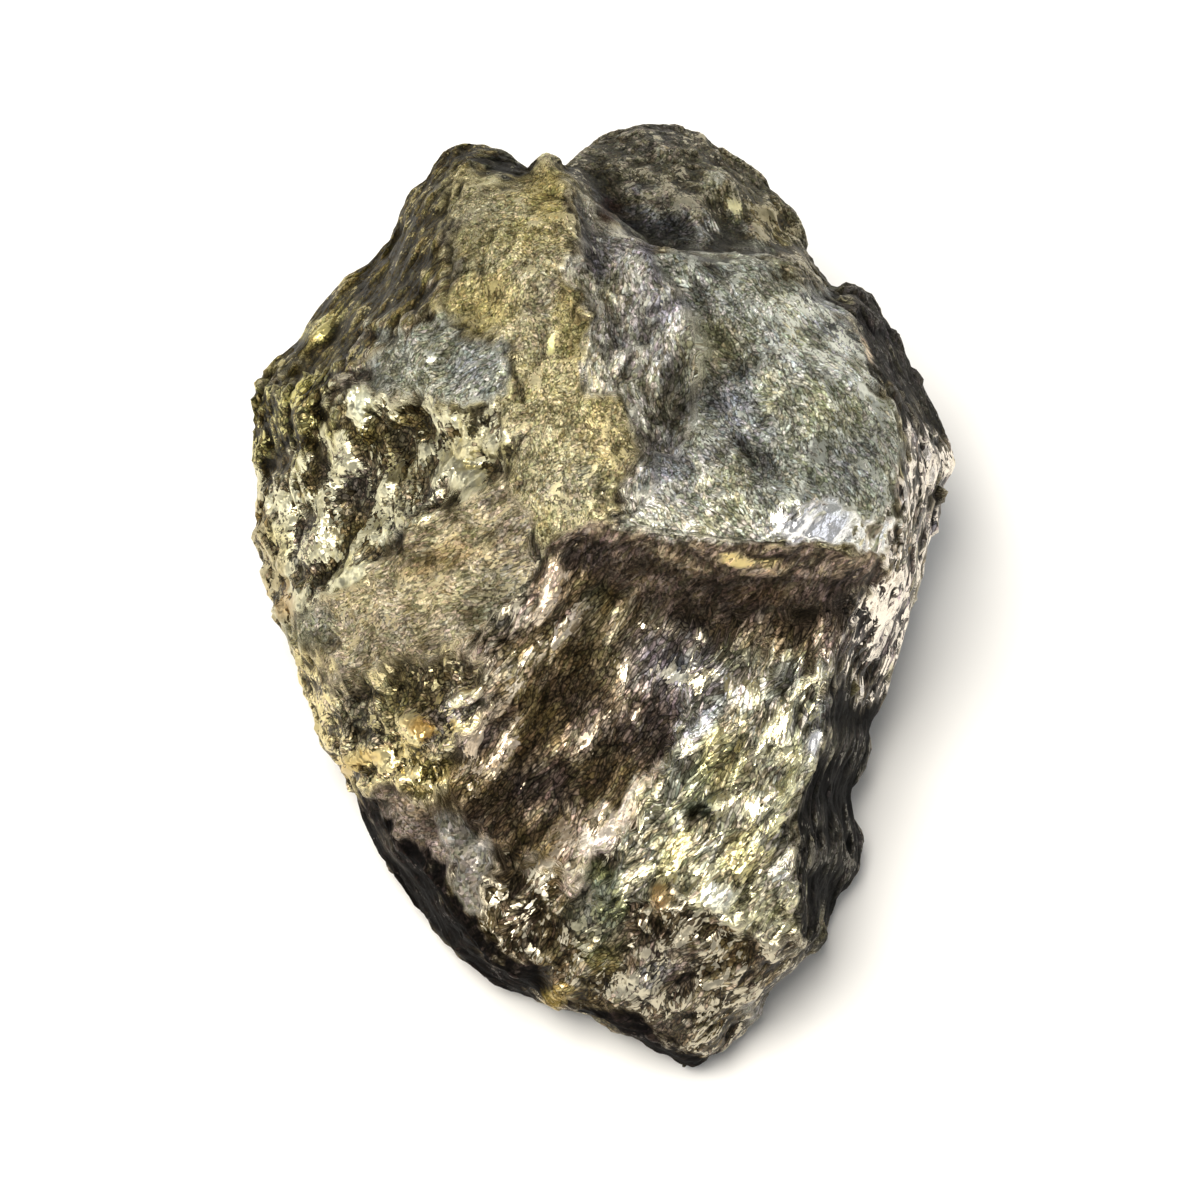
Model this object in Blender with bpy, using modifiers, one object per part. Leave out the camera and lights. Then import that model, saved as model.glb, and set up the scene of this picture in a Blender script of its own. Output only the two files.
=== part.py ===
"""Rough pyrite: a broken lump of massive pyrite that fits in the palm, as one closed solid, in metres.

The stone is laid out as it looks from straight in front of its broad face. A point is (across, up, out):
to the right, up the face, and out towards the eye, in millimetres from the middle of the face. Break lines
give the rim, the ridges, the ledge and the creases. The facets between them are filled in, the relief of the
broken metal is pressed into them, and the stone is laid down on its flat back.
"""

import math

import bmesh
import bpy
from mathutils import Matrix, Vector, noise
from mathutils.geometry import delaunay_2d_cdt

MM = 0.001
NAME = "pyrite"

# How the stone lies: straight up the face rises from the level by this angle, and the flat that it rests
# on is this far below the middle of the face.
LEAN_DEG = 30.0
REST_DEPTH = 24.0
# The break lines are drawn as they look from here, so a point further back is spread a little wider.
EYE_DISTANCE = 375.0

# Mesh fineness: the size of the cells that carry the relief, and the triangles that are kept of them before
# the stone is cut flat.
CELL_SIZE = 0.65
FACES_KEPT = 9000

# The outline of the stone, clockwise from the left: bulge, far slope, knob, crest, back slab, right flank,
# dark right side, tip, lower left side.
RIM = [
    (-29.2, 15.8, -14.0), (-28.4, 17.8, -14.0), (-26.5, 20.0, -14.5), (-25.2, 21.6, -15.0),
    (-23.7, 24.4, -16.0), (-21.4, 27.2, -16.0), (-18.9, 28.6, -15.0), (-17.1, 31.7, -14.0),
    (-15.8, 34.3, -12.5), (-14.0, 36.2, -11.0), (-12.2, 38.0, -10.0), (-9.3, 38.6, -10.0),
    (-7.2, 37.6, -9.5), (-6.1, 35.6, -8.5), (-4.8, 37.6, -4.0), (-3.6, 37.2, -5.0),
    (-2.8, 35.6, -9.0), (-1.0, 38.4, -15.0), (0.0, 39.2, -17.0), (2.8, 39.7, -18.0),
    (7.5, 39.5, -18.0), (8.8, 39.6, -18.0), (9.9, 38.4, -17.5), (12.8, 36.2, -17.0),
    (15.3, 33.7, -16.0), (16.8, 31.0, -15.0), (17.3, 28.2, -13.0), (18.6, 26.3, -10.0),
    (19.5, 25.2, -8.0), (21.2, 26.6, -11.0), (23.4, 24.4, -12.0), (25.2, 21.2, -12.0),
    (26.5, 19.2, -12.0), (27.9, 16.0, -12.0), (29.6, 11.5, -11.0), (28.6, 9.6, -11.0),
    (28.0, 6.9, -10.5), (27.2, 3.5, -9.5), (26.4, 0.8, -9.0), (25.2, -3.4, -8.0),
    (23.3, -6.6, -7.0), (24.3, -7.4, -8.0), (22.6, -10.2, -9.0), (23.0, -12.4, -9.5),
    (21.2, -15.9, -9.0), (22.4, -20.2, -10.0), (21.6, -22.5, -9.5), (19.4, -25.4, -8.5),
    (18.5, -28.4, -6.5), (16.8, -29.6, -4.5), (14.6, -31.9, -4.0), (13.4, -34.2, -3.5),
    (11.9, -36.2, -3.0), (9.6, -38.0, -2.2), (7.5, -39.5, -2.0), (5.8, -38.8, -2.4),
    (1.9, -36.4, -3.6), (-1.8, -34.4, -4.2), (-4.8, -33.5, -4.5), (-6.7, -32.8, -4.8),
    (-9.9, -31.0, -5.5), (-12.8, -28.9, -6.5), (-15.8, -25.0, -8.0), (-18.2, -21.9, -9.0),
    (-20.3, -17.9, -9.5), (-20.9, -15.4, -8.5), (-23.2, -11.5, -9.0), (-25.3, -5.8, -10.0),
    (-26.4, -1.9, -11.0), (-27.6, 1.4, -12.5), (-28.9, 5.0, -13.5), (-28.8, 7.5, -14.0),
    (-28.6, 9.3, -14.0), (-29.1, 12.5, -14.0),
]

# Ridges, creases and edges of the broad face.
FACE_LINES = {
    "crest": [
        (-4.7, 36.1, -1.5), (-2.8, 35.2, 1.0), (-2.2, 32.9, 4.0), (-1.9, 31.1, 6.2), (-2.3, 28.6, 8.5),
        (-3.1, 26.4, 10.3), (-0.9, 23.6, 12.5), (-1.0, 19.8, 14.5), (-0.2, 17.9, 15.2), (1.8, 16.3, 15.8),
        (2.1, 13.0, 16.8), (1.8, 7.6, 17.8),
    ],
    "recess beside the crest": [
        (-0.9, 31.7, 2.4), (-0.4, 28.3, 6.4), (0.3, 25.4, 9.0), (1.2, 22.0, 11.4), (2.6, 18.6, 13.2),
        (3.8, 14.6, 15.0), (4.0, 10.6, 16.8),
    ],
    "back edge of the crest": [
        (-2.4, 35.6, -3.0), (-0.8, 33.4, -0.5), (0.8, 31.8, 1.8), (2.5, 30.2, 4.2), (4.0, 28.8, 6.5),
    ],
    "groove behind the crest": [
        (-1.9, 35.9, -8.5), (-0.3, 34.1, -7.5), (1.4, 32.4, -6.0), (3.0, 30.9, -4.5), (4.7, 29.5, -2.5),
        (8.3, 29.0, -0.5), (13.3, 28.9, -1.5), (16.4, 28.3, -5.5),
    ],
    "back slab, fold": [
        (0.2, 35.0, -9.0), (4.0, 34.0, -6.5), (8.2, 33.6, -6.0),
    ],
    "back slab, right": [
        (8.5, 37.2, -13.5), (10.6, 34.8, -9.5), (13.2, 31.6, -8.0),
    ],
    "panel, top edge": [
        (4.0, 28.8, 6.5), (8.3, 28.3, 7.2), (13.3, 28.2, 6.5), (16.6, 27.4, 3.0), (19.3, 25.2, -2.0),
    ],
    "panel, right edge": [
        (19.3, 25.2, -2.0), (20.8, 23.6, 3.5), (21.9, 20.8, 7.5), (23.1, 18.1, 10.0), (24.3, 15.9, 11.5),
        (24.8, 14.0, 12.0), (25.0, 11.7, 12.8), (24.8, 8.3, 13.4), (24.4, 4.4, 13.8), (24.1, 2.8, 13.6),
    ],
    "panel, bent plane": [
        (8.6, 24.2, 9.8), (12.5, 24.8, 11.0), (15.0, 20.6, 14.0), (12.4, 15.0, 14.8), (12.2, 12.6, 15.9),
        (13.9, 9.2, 18.6), (14.7, 6.6, 20.2),
    ],
    "panel, gouge": [
        (6.2, 20.2, 12.0), (6.1, 15.6, 13.6), (6.6, 12.8, 16.0),
    ],
    "panel, bright chamfer": [
        (14.7, 6.6, 20.2), (15.9, 7.7, 20.0), (20.4, 7.4, 18.2), (23.2, 6.9, 15.6), (24.8, 8.3, 13.4),
    ],
    "ledge, lip": [
        (-4.0, 4.6, 15.2), (-2.0, 5.8, 16.6), (0.0, 6.2, 17.5), (2.1, 6.1, 18.0), (4.2, 5.8, 18.4),
        (8.3, 5.3, 19.2), (14.2, 5.0, 19.4), (19.2, 4.6, 18.4), (21.7, 3.8, 16.8), (24.1, 2.8, 13.6),
    ],
    "ledge, foot": [
        (-2.6, 4.0, 13.8), (-0.3, 2.7, 12.4), (3.3, -0.4, 10.8), (8.3, -1.6, 11.0), (16.6, -1.2, 11.6),
        (18.6, -0.7, 11.8), (20.8, 0.5, 12.2), (22.6, 1.6, 12.6),
    ],
    "right flank, shoulder": [
        (23.0, 22.4, -2.0), (25.0, 18.4, 0.5), (26.1, 14.2, 2.8), (26.6, 10.0, 3.6), (25.9, 5.0, 4.2),
        (24.9, 0.8, 5.2), (23.2, -3.3, 5.0),
    ],
    "lower face, right crest": [
        (19.4, -6.2, 11.4), (19.2, -9.2, 11.8), (18.9, -12.1, 12.2), (17.9, -14.2, 12.6),
        (16.9, -16.8, 13.0), (16.5, -21.7, 13.2), (16.4, -25.0, 12.6), (16.6, -28.2, 9.6),
    ],
    "lower face, swell": [
        (13.4, -5.2, 11.4), (12.4, -10.8, 12.6), (10.8, -17.5, 13.6), (8.6, -24.2, 13.8),
    ],
    "trough, right side": [
        (7.4, -4.4, 10.6), (5.2, -9.2, 10.2), (3.3, -13.8, 10.0), (0.8, -18.8, 10.0), (-1.6, -23.8, 9.8),
    ],
    "trough, floor": [
        (1.7, 0.2, 10.6), (0.0, -4.2, 9.4), (-2.5, -9.2, 8.2), (-4.6, -14.2, 7.4), (-6.7, -18.6, 6.6),
    ],
    "trough, left ridge": [
        (-4.0, 4.6, 15.2), (-4.6, -0.8, 13.4), (-8.2, -5.8, 11.2), (-10.8, -9.4, 9.4), (-13.6, -13.6, 7.2),
        (-16.2, -16.8, 4.6),
    ],
    "shelf, upper edge": [
        (-8.4, 10.2, 13.6), (-12.4, 7.8, 11.8), (-15.6, 6.3, 10.2), (-17.0, 4.7, 8.8), (-17.9, 3.3, 7.6),
        (-20.4, 1.3, 5.0), (-22.9, 0.0, 2.0), (-25.2, -0.9, -3.0),
    ],
    "shelf, lower edge": [
        (-25.0, -4.2, -3.5), (-22.4, -7.4, 0.0), (-16.7, -6.6, 5.2), (-11.6, -4.6, 9.0),
    ],
    "hollow, foot of the shelf": [
        (-10.8, 11.2, 9.0), (-14.5, 9.3, 6.4), (-17.5, 7.5, 4.6), (-18.9, 5.0, 3.8), (-21.2, 2.9, 1.2),
        (-25.0, 1.4, -5.0),
    ],
    "hollow, upper edge": [
        (-22.0, 18.7, -1.0), (-18.3, 17.1, 4.0), (-13.3, 16.3, 9.4), (-8.4, 15.6, 13.2),
    ],
    "hollow, floor": [
        (-11.2, 13.2, 8.6), (-16.2, 13.0, 2.2), (-20.0, 9.8, -2.0), (-23.6, 6.6, -5.0),
    ],
    "left bulge": [
        (-27.2, 17.6, -9.0), (-24.6, 16.6, -3.4), (-22.4, 14.2, -1.4), (-24.4, 11.4, -4.6),
        (-26.8, 7.4, -8.0), (-26.6, 3.0, -7.6),
    ],
    "far slope, edge": [
        (-10.9, 35.4, -4.0), (-12.4, 31.8, 0.6), (-12.6, 28.3, 3.6), (-13.4, 25.0, 5.8),
        (-16.6, 22.4, 4.8), (-19.2, 20.5, 2.2), (-22.0, 18.7, -1.0),
    ],
    "knob, dished facet": [
        (-12.0, 36.2, -6.5), (-10.9, 35.4, -4.0), (-7.2, 34.9, -2.6), (-6.2, 35.4, -3.6),
    ],
    "lumps, lower edge": [
        (-19.6, -15.8, 1.5), (-16.2, -16.8, 4.6), (-12.4, -17.6, 5.8), (-9.6, -18.4, 5.4),
    ],
    "lower left side, edge": [
        (-19.6, -15.8, 1.5), (-16.8, -20.6, 3.2), (-14.3, -22.5, 5.0), (-12.5, -26.0, 6.0),
        (-10.6, -28.4, 6.4), (-8.3, -30.7, 5.4), (-6.0, -32.4, 3.4), (-3.2, -33.7, 3.4),
        (0.0, -34.6, 4.8), (2.2, -35.4, 5.4), (4.4, -37.0, 4.4), (6.8, -38.0, 3.2), (9.0, -37.8, 2.2),
    ],
    "lower crease": [
        (-1.6, -26.0, 10.4), (3.6, -26.2, 12.2), (8.3, -26.4, 13.2), (12.1, -27.2, 12.2),
        (14.3, -28.4, 10.8), (16.6, -28.2, 9.6),
    ],
    "foot sliver": [
        (16.6, -28.2, 9.6), (15.6, -30.6, 5.8), (12.6, -32.9, 6.2),
    ],
}

# High points, low points and flats that lie between the lines of the broad face.
FACE_POINTS = [
    (-8.4, 30.6, 6.0), (-8.0, 25.6, 9.4), (-9.8, 20.6, 11.0), (-14.6, 19.6, 7.8), (-5.4, 20.6, 12.8),
    (-5.0, 16.0, 14.2), (-3.2, 12.4, 16.6), (-5.6, 8.0, 15.2), (-9.6, 3.4, 12.4), (-14.6, 0.6, 9.4),
    (-20.4, -2.6, 4.2), (-16.4, 26.4, -2.0), (-19.6, 23.6, -4.6), (-22.6, 20.6, -6.0), (-14.8, 31.0, -4.6),
    (18.8, 18.0, 15.0), (20.4, 13.4, 16.4), (17.2, 12.0, 18.0), (9.2, 9.0, 18.6), (10.4, 19.6, 11.8),
    (16.4, 24.4, 9.0), (16.6, 1.8, 14.8), (8.6, 1.8, 14.6), (3.6, 3.2, 14.0), (20.4, -3.0, 11.2),
    (14.2, -3.0, 11.0), (-20.4, -10.4, 1.6), (-15.4, -10.4, 7.6), (-18.4, -13.4, 3.6), (-12.0, -13.6, 7.2),
    (-12.2, -21.6, 6.8), (-7.0, -24.4, 7.2), (-2.6, -30.0, 8.2), (4.2, -31.0, 9.6), (9.4, -31.6, 9.4),
    (7.6, -35.2, 6.4), (11.6, -34.8, 3.4), (4.6, -21.4, 11.4), (-6.4, -11.6, 8.4), (-25.4, 5.2, -6.6),
]

# The back and the underside. Points that go below the flat are cut off by it.
BACK_LINES = {
    "left side, shoulder": [
        (-27.2, 14.4, -21.0), (-27.6, 5.6, -19.6), (-25.0, -3.6, -17.0), (-21.6, -12.4, -14.0),
        (-18.0, -20.0, -12.6),
    ],
    "left side, foot": [
        (-23.8, 13.0, -30.6), (-24.0, 4.2, -26.6), (-20.8, -6.4, -21.0), (-17.6, -15.4, -17.0),
        (-13.6, -23.4, -13.2), (-7.6, -29.8, -10.2), (0.6, -34.6, -7.4), (6.4, -37.6, -5.6),
    ],
    "right side, shoulder": [
        (21.6, 21.8, -22.0), (26.2, 14.6, -19.0), (27.2, 6.4, -17.6), (23.8, -3.8, -15.0),
        (21.4, -13.4, -14.6), (20.4, -21.0, -12.6),
    ],
    "right side, foot": [
        (19.8, 18.4, -31.0), (24.6, 9.0, -28.0), (22.8, -1.6, -23.4), (20.4, -11.6, -18.8),
        (18.6, -20.8, -15.4), (15.2, -28.4, -10.8), (10.8, -34.8, -7.0),
    ],
    "back, shoulder": [
        (-23.8, 19.4, -21.0), (-17.6, 25.2, -22.6), (-11.2, 31.0, -20.6), (-4.4, 31.4, -24.0),
        (4.6, 33.8, -25.6), (12.0, 31.2, -24.0), (17.4, 25.6, -24.6),
    ],
    "back, foot": [
        (-21.4, 16.6, -31.6), (-13.4, 24.0, -34.0), (-5.4, 24.2, -37.0), (5.2, 26.8, -37.6),
        (13.0, 24.4, -36.8), (19.8, 18.4, -31.0),
    ],
    "flat, left edge": [
        (-14.6, 14.0, -38.6), (-18.4, 5.4, -33.6), (-15.8, -5.0, -27.0), (-13.2, -14.0, -21.6),
        (-8.6, -22.4, -16.6), (-0.6, -30.0, -12.0),
    ],
    "flat, right edge": [
        (15.4, 14.6, -39.0), (18.4, 5.8, -33.8), (16.4, -4.2, -27.8), (15.6, -12.8, -22.6),
        (13.2, -21.4, -17.4), (8.4, -29.6, -12.4), (5.4, -33.4, -10.0),
    ],
    "flat, back edge": [
        (-14.6, 14.0, -38.6), (-7.6, 15.6, -39.4), (-1.6, 14.2, -38.6), (6.6, 18.6, -41.0),
        (15.4, 14.6, -39.0),
    ],
}
BACK_POINTS = [
    (0.0, 4.0, -34.0), (1.5, -10.0, -26.0), (3.0, -22.0, -18.6), (-12.6, 28.4, -28.0), (8.0, 30.4, -31.6),
    (-17.0, 21.0, -29.0),
]

# Where the broken metal is coarse, splintery or smooth. A patch is an ellipse seen from the front, with its
# centre, its half widths and the turn of its long side; splinters run along that side. A smooth patch takes
# away its amount of the relief, and the others add theirs in millimetres.
LUMPY_PATCHES = {
    "hollow": {"at": (-19.5, 9.5), "half": (11.0, 9.5), "turn": -20, "amount": 0.95},
    "lower left": {"at": (-16.0, -11.0), "half": (9.5, 6.0), "turn": 30, "amount": 0.80},
    "back slab": {"at": (10.0, 34.0), "half": (9.0, 5.5), "turn": -25, "amount": 0.35},
    "tip": {"at": (6.0, -33.0), "half": (11.0, 6.5), "turn": 10, "amount": 0.40},
}
SPLINTERY_PATCHES = {
    "trough": {"at": (-3.0, -10.0), "half": (15.0, 8.5), "turn": 52, "amount": 0.75},
    "lower face": {"at": (9.5, -16.0), "half": (13.0, 8.5), "turn": 60, "amount": 0.55},
    "right flank": {"at": (25.0, 2.0), "half": (10.0, 4.0), "turn": 75, "amount": 0.45},
    "recess beside the crest": {"at": (3.6, 18.0), "half": (11.0, 3.6), "turn": 84, "amount": 0.55},
}
SMOOTH_PATCHES = {
    "shelf": {"at": (-14.5, 2.0), "half": (11.0, 5.2), "turn": 28, "amount": 0.75},
    "panel": {"at": (17.0, 15.0), "half": (10.5, 8.5), "turn": -50, "amount": 0.80},
    "crest": {"at": (-3.0, 15.0), "half": (5.0, 13.0), "turn": 0, "amount": 0.55},
    "quartz": {"at": (-12.0, -22.5), "half": (5.0, 6.0), "turn": 0, "amount": 0.60},
}

# Single features of the face: an ellipse with its height above the surface around it, below zero for a pit.
FEATURES = {
    "hollow, deep pit": {"at": (-20.0, 9.7), "half": (2.6, 1.8), "turn": 20, "height": -1.6},
    "hollow, upper pit": {"at": (-16.2, 12.9), "half": (1.7, 1.2), "turn": 0, "height": -1.3},
    "hollow, right pit": {"at": (-10.0, 11.3), "half": (1.8, 1.3), "turn": 0, "height": -1.3},
    "hollow, lower pit": {"at": (-18.4, 6.8), "half": (1.8, 1.2), "turn": 0, "height": -1.0},
    "hollow, cream knob": {"at": (-19.6, 15.8), "half": (2.3, 1.5), "turn": 80, "height": 1.1},
    "hollow, middle knob": {"at": (-13.2, 12.6), "half": (1.8, 1.3), "turn": 10, "height": 1.0},
    "hollow, rim knob": {"at": (-23.6, 4.2), "half": (2.6, 1.5), "turn": 60, "height": 0.9},
    "shelf, notch": {"at": (-17.2, 4.7), "half": (1.7, 1.0), "turn": 55, "height": -1.2},
    "recess, slot": {"at": (6.0, 16.8), "half": (3.3, 0.9), "turn": 92, "height": -1.2},
    "recess, streak": {"at": (1.9, 20.0), "half": (1.9, 0.7), "turn": 55, "height": 0.6},
    "panel, lower gouge": {"at": (12.6, 11.8), "half": (2.5, 0.8), "turn": -51, "height": -0.9},
    "panel, upper gouge": {"at": (10.7, 19.0), "half": (2.3, 0.8), "turn": -54, "height": -0.8},
    "trough, wall block": {"at": (-3.8, 1.0), "half": (2.6, 1.3), "turn": 70, "height": 0.8},
    "trough, upper ridge": {"at": (1.2, -2.5), "half": (2.9, 0.8), "turn": 70, "height": 1.0},
    "trough, side ridge": {"at": (5.3, -3.3), "half": (2.3, 0.7), "turn": 62, "height": 0.8},
    "trough, core": {"at": (-4.5, -14.5), "half": (4.2, 2.8), "turn": 50, "height": -0.8},
    "lumps, gold knob": {"at": (-14.6, -10.7), "half": (1.9, 1.5), "turn": 30, "height": 1.2},
    "lumps, cream knob": {"at": (-11.0, -8.2), "half": (1.7, 1.4), "turn": 40, "height": 1.0},
    "lumps, left knob": {"at": (-19.6, -12.4), "half": (2.0, 1.4), "turn": 20, "height": 0.9},
    "lumps, furrow": {"at": (-12.4, -13.0), "half": (3.2, 1.0), "turn": 40, "height": -0.9},
    "lower face, cream knob": {"at": (10.4, -24.6), "half": (1.8, 1.4), "turn": 0, "height": 0.9},
    "lower face, gold knob": {"at": (5.0, -25.0), "half": (1.5, 1.4), "turn": 0, "height": 0.6},
    "lower face, dark pit": {"at": (8.2, -17.6), "half": (1.5, 1.1), "turn": 0, "height": -0.8},
    "tip, quartz nub": {"at": (12.6, -34.2), "half": (1.4, 1.2), "turn": 60, "height": 0.7},
}

# A patch begins at the first of these shares of its half widths, and is full at the second.
PATCH_EDGE = (1.15, 0.70)
BACK_FADE = (-22.0, -12.0)  # patches and features fade out between these depths

# The relief that covers the whole stone: small broken facets, chips on them, and a slow swell that keeps the
# large facets from lying dead flat.
HACKLE_SIZE = 4.6
HACKLE_HEIGHT = 0.75
CHIP_SIZE = 2.2
CHIP_HEIGHT = 0.30
CHIP_SHIFT = Vector((31.0, 17.0, 5.0))  # keeps the chips' pattern clear of the facets' own
SWELL_SIZE = 11.0
SWELL_HEIGHT = 0.55
CELL_LEAN = 1.6    # steepness of a tilted cell, which brings its height to about half a unit each way
CELL_SLOPE = 0.3   # how much of a cell is the slope to its neighbour
CELL_SPREAD = 7.31  # sets neighbouring cells far apart in the pattern that their leans are drawn from

LUMP_SIZE = 3.4
LUMP_LEVEL = 0.45  # distance from a lump's middle, in lump sizes, where it meets the surface around it
LUMP_SWELL = 1.6
SPLINTER_WIDTH = 2.2
SPLINTER_STRETCH = 4.0
SPLINTER_DEPTH = 0.6   # how fast the splinters change with depth, beside how fast they do across
WANDER_SIZE = 6.0      # the splinters wander sideways over this length
WANDER_WIDTH = 1.2


def seen_point(point):
    """Moves a point drawn as it looks from the eye to its own depth, where it is smaller the nearer it is."""
    across, up, out = point
    share = 1.0 - out / EYE_DISTANCE
    return Vector((across * share, up * share, out))


def fill_between(bm, lines, points, turned):
    """Fills the rim with triangles that follow every break line, and gives each corner its depth."""
    corners = list(RIM)
    edges = [(i, (i + 1) % len(RIM)) for i in range(len(RIM))]
    for line in lines.values():
        first = len(corners)
        corners.extend(line)
        edges.extend((first + i, first + i + 1) for i in range(len(line) - 1))
    corners.extend(points)
    flat = [Vector(corner[:2]) for corner in corners]
    places, _, triangles, sources, _, _ = delaunay_2d_cdt(flat, edges, [], 1, 1e-4)
    verts = []
    for place, source in zip(places, sources):
        if not source:
            raise ValueError(f"two break lines cross near {place.x:.1f}, {place.y:.1f}")
        verts.append(bm.verts.new(seen_point(corners[min(source)])))
    for triangle in triangles:
        order = reversed(triangle) if turned else triangle
        bm.faces.new([verts[i] for i in order])


def make_cage():
    """The stone as large plain facets, as it looks from the front, in millimetres."""
    bm = bmesh.new()
    fill_between(bm, FACE_LINES, FACE_POINTS, turned=False)
    fill_between(bm, BACK_LINES, BACK_POINTS, turned=True)
    bmesh.ops.remove_doubles(bm, verts=bm.verts, dist=1e-3)
    bmesh.ops.recalc_face_normals(bm, faces=bm.faces)
    mesh = bpy.data.meshes.new(NAME)
    bm.to_mesh(mesh)
    bm.free()
    return mesh


def smooth_step(start, end, value):
    share = min(max((value - start) / (end - start), 0.0), 1.0)
    return share * share * (3.0 - 2.0 * share)


def reach_from(ellipse, point):
    """How far the point is from the ellipse's centre, seen from the front: 1 on its line."""
    turn = math.radians(ellipse["turn"])
    along = Vector((math.cos(turn), math.sin(turn)))
    offset = Vector(point[:2]) - Vector(ellipse["at"])
    return math.hypot(offset.dot(along) / ellipse["half"][0], offset.cross(along) / ellipse["half"][1])


def patch_weight(patch, point):
    """1 well inside the patch, 0 outside it and on the back of the stone."""
    return smooth_step(*PATCH_EDGE, reach_from(patch, point)) * smooth_step(*BACK_FADE, point.z)


def tilted_cells(point, size):
    """A field of small planes, from about -0.5 to 0.5: each cell of a Voronoi pattern leans its own way, and
    meets its neighbour in a short slope."""
    place = point / size
    reach, centres = noise.voronoi(place)
    heights = []
    for centre in centres[:2]:
        lean = noise.cell_vector(centre * CELL_SPREAD) - Vector((0.5, 0.5, 0.5))
        heights.append(lean.dot(place - centre) * CELL_LEAN)
    own = 0.5 + 0.5 * smooth_step(0.0, CELL_SLOPE, reach[1] - reach[0])
    return own * heights[0] + (1.0 - own) * heights[1]


def splinters(point, turn_deg):
    """Sharp-backed ridges that run along one direction of the face, from about -0.5 to 0.5."""
    turn = math.radians(turn_deg)
    along = point.x * math.cos(turn) + point.y * math.sin(turn)
    beside = point.y * math.cos(turn) - point.x * math.sin(turn)
    wander = noise.noise(point / WANDER_SIZE) * WANDER_WIDTH
    place = Vector((along / SPLINTER_STRETCH, beside + wander, point.z * SPLINTER_DEPTH)) / SPLINTER_WIDTH
    return 0.5 - 2.0 * abs(noise.noise(place))


def relief(point):
    """How far the broken surface stands out of its large facet here, in millimetres."""
    roughness = 1.0
    for patch in SMOOTH_PATCHES.values():
        roughness *= 1.0 - patch["amount"] * patch_weight(patch, point)
    height = roughness * HACKLE_HEIGHT * tilted_cells(point, HACKLE_SIZE)
    height += roughness * CHIP_HEIGHT * tilted_cells(point + CHIP_SHIFT, CHIP_SIZE)
    height += SWELL_HEIGHT * noise.noise(point / SWELL_SIZE)
    for patch in SPLINTERY_PATCHES.values():
        height += patch["amount"] * patch_weight(patch, point) * splinters(point, patch["turn"])
    lump = LUMP_SWELL * (LUMP_LEVEL - noise.voronoi(point / LUMP_SIZE)[0][0])
    for patch in LUMPY_PATCHES.values():
        height += patch["amount"] * patch_weight(patch, point) * lump
    for feature in FEATURES.values():
        fade = smooth_step(*BACK_FADE, point.z)
        height += fade * feature["height"] * math.exp(-2.0 * reach_from(feature, point) ** 2)
    return height


def evaluated_mesh(obj):
    """The object's mesh with its modifiers applied, as a new mesh."""
    return bpy.data.meshes.new_from_object(obj.evaluated_get(bpy.context.evaluated_depsgraph_get()))


def apply_modifiers(obj):
    done = evaluated_mesh(obj)
    obj.modifiers.clear()
    old = obj.data
    obj.data = done
    bpy.data.meshes.remove(old)


def press_relief(obj):
    """Covers the cage with even cells, then moves each corner along its normal by the relief there."""
    remesh = obj.modifiers.new("even cells", "REMESH")
    remesh.mode = "VOXEL"
    remesh.voxel_size = CELL_SIZE
    apply_modifiers(obj)
    moved = [vertex.co + vertex.normal * relief(vertex.co) for vertex in obj.data.vertices]
    for vertex, place in zip(obj.data.vertices, moved):
        vertex.co = place


def thin_out(obj):
    """Keeps the corners where the surface bends, and drops those that lie flat."""
    thin = obj.modifiers.new("fewer faces", "DECIMATE")
    obj.data.calc_loop_triangles()
    thin.ratio = FACES_KEPT / len(obj.data.loop_triangles)
    thin.use_collapse_triangulate = True
    apply_modifiers(obj)


def lay_down(obj):
    """Lays the stone back, cuts it off at the flat it rests on, and puts the middle of its base at zero."""
    obj.data.transform(Matrix.Scale(MM, 4) @ Matrix.Rotation(math.radians(LEAN_DEG), 4, "X"))
    bm = bmesh.new()
    bm.from_mesh(obj.data)
    everything = bm.verts[:] + bm.edges[:] + bm.faces[:]
    cut = bmesh.ops.bisect_plane(
        bm,
        geom=everything,
        plane_co=(0.0, 0.0, -REST_DEPTH * MM),
        plane_no=(0.0, 0.0, -1.0),
        clear_outer=True,
    )
    loop = [item for item in cut["geom_cut"] if isinstance(item, bmesh.types.BMEdge)]
    bmesh.ops.holes_fill(bm, edges=loop, sides=0)
    bmesh.ops.recalc_face_normals(bm, faces=bm.faces)
    low = Vector([min(vertex.co[axis] for vertex in bm.verts) for axis in range(3)])
    high = Vector([max(vertex.co[axis] for vertex in bm.verts) for axis in range(3)])
    middle = (low + high) / 2.0
    bmesh.ops.translate(bm, verts=bm.verts, vec=(-middle.x, -middle.y, -low.z))
    bm.to_mesh(obj.data)
    bm.free()


def pyrite_material():
    """Broken massive pyrite: a pale brass metal, dulled by its rough surface."""
    material = bpy.data.materials.new("pyrite metal")
    material.use_nodes = True
    shader = material.node_tree.nodes["Principled BSDF"]
    shader.inputs["Base Color"].default_value = (0.25, 0.21, 0.13, 1.0)
    shader.inputs["Metallic"].default_value = 0.9
    shader.inputs["Roughness"].default_value = 0.45
    return material


def main():
    for old in list(bpy.data.objects):
        bpy.data.objects.remove(old, do_unlink=True)
    collection = bpy.data.collections.new("rough pyrite")
    bpy.context.scene.collection.children.link(collection)
    stone = bpy.data.objects.new(NAME, make_cage())
    collection.objects.link(stone)
    press_relief(stone)
    thin_out(stone)
    lay_down(stone)
    stone.data.materials.clear()
    stone.data.materials.append(pyrite_material())


main()
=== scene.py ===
import math
from functools import partial

import bmesh
import bpy
import numpy as np
from mathutils import Matrix, Vector


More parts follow.
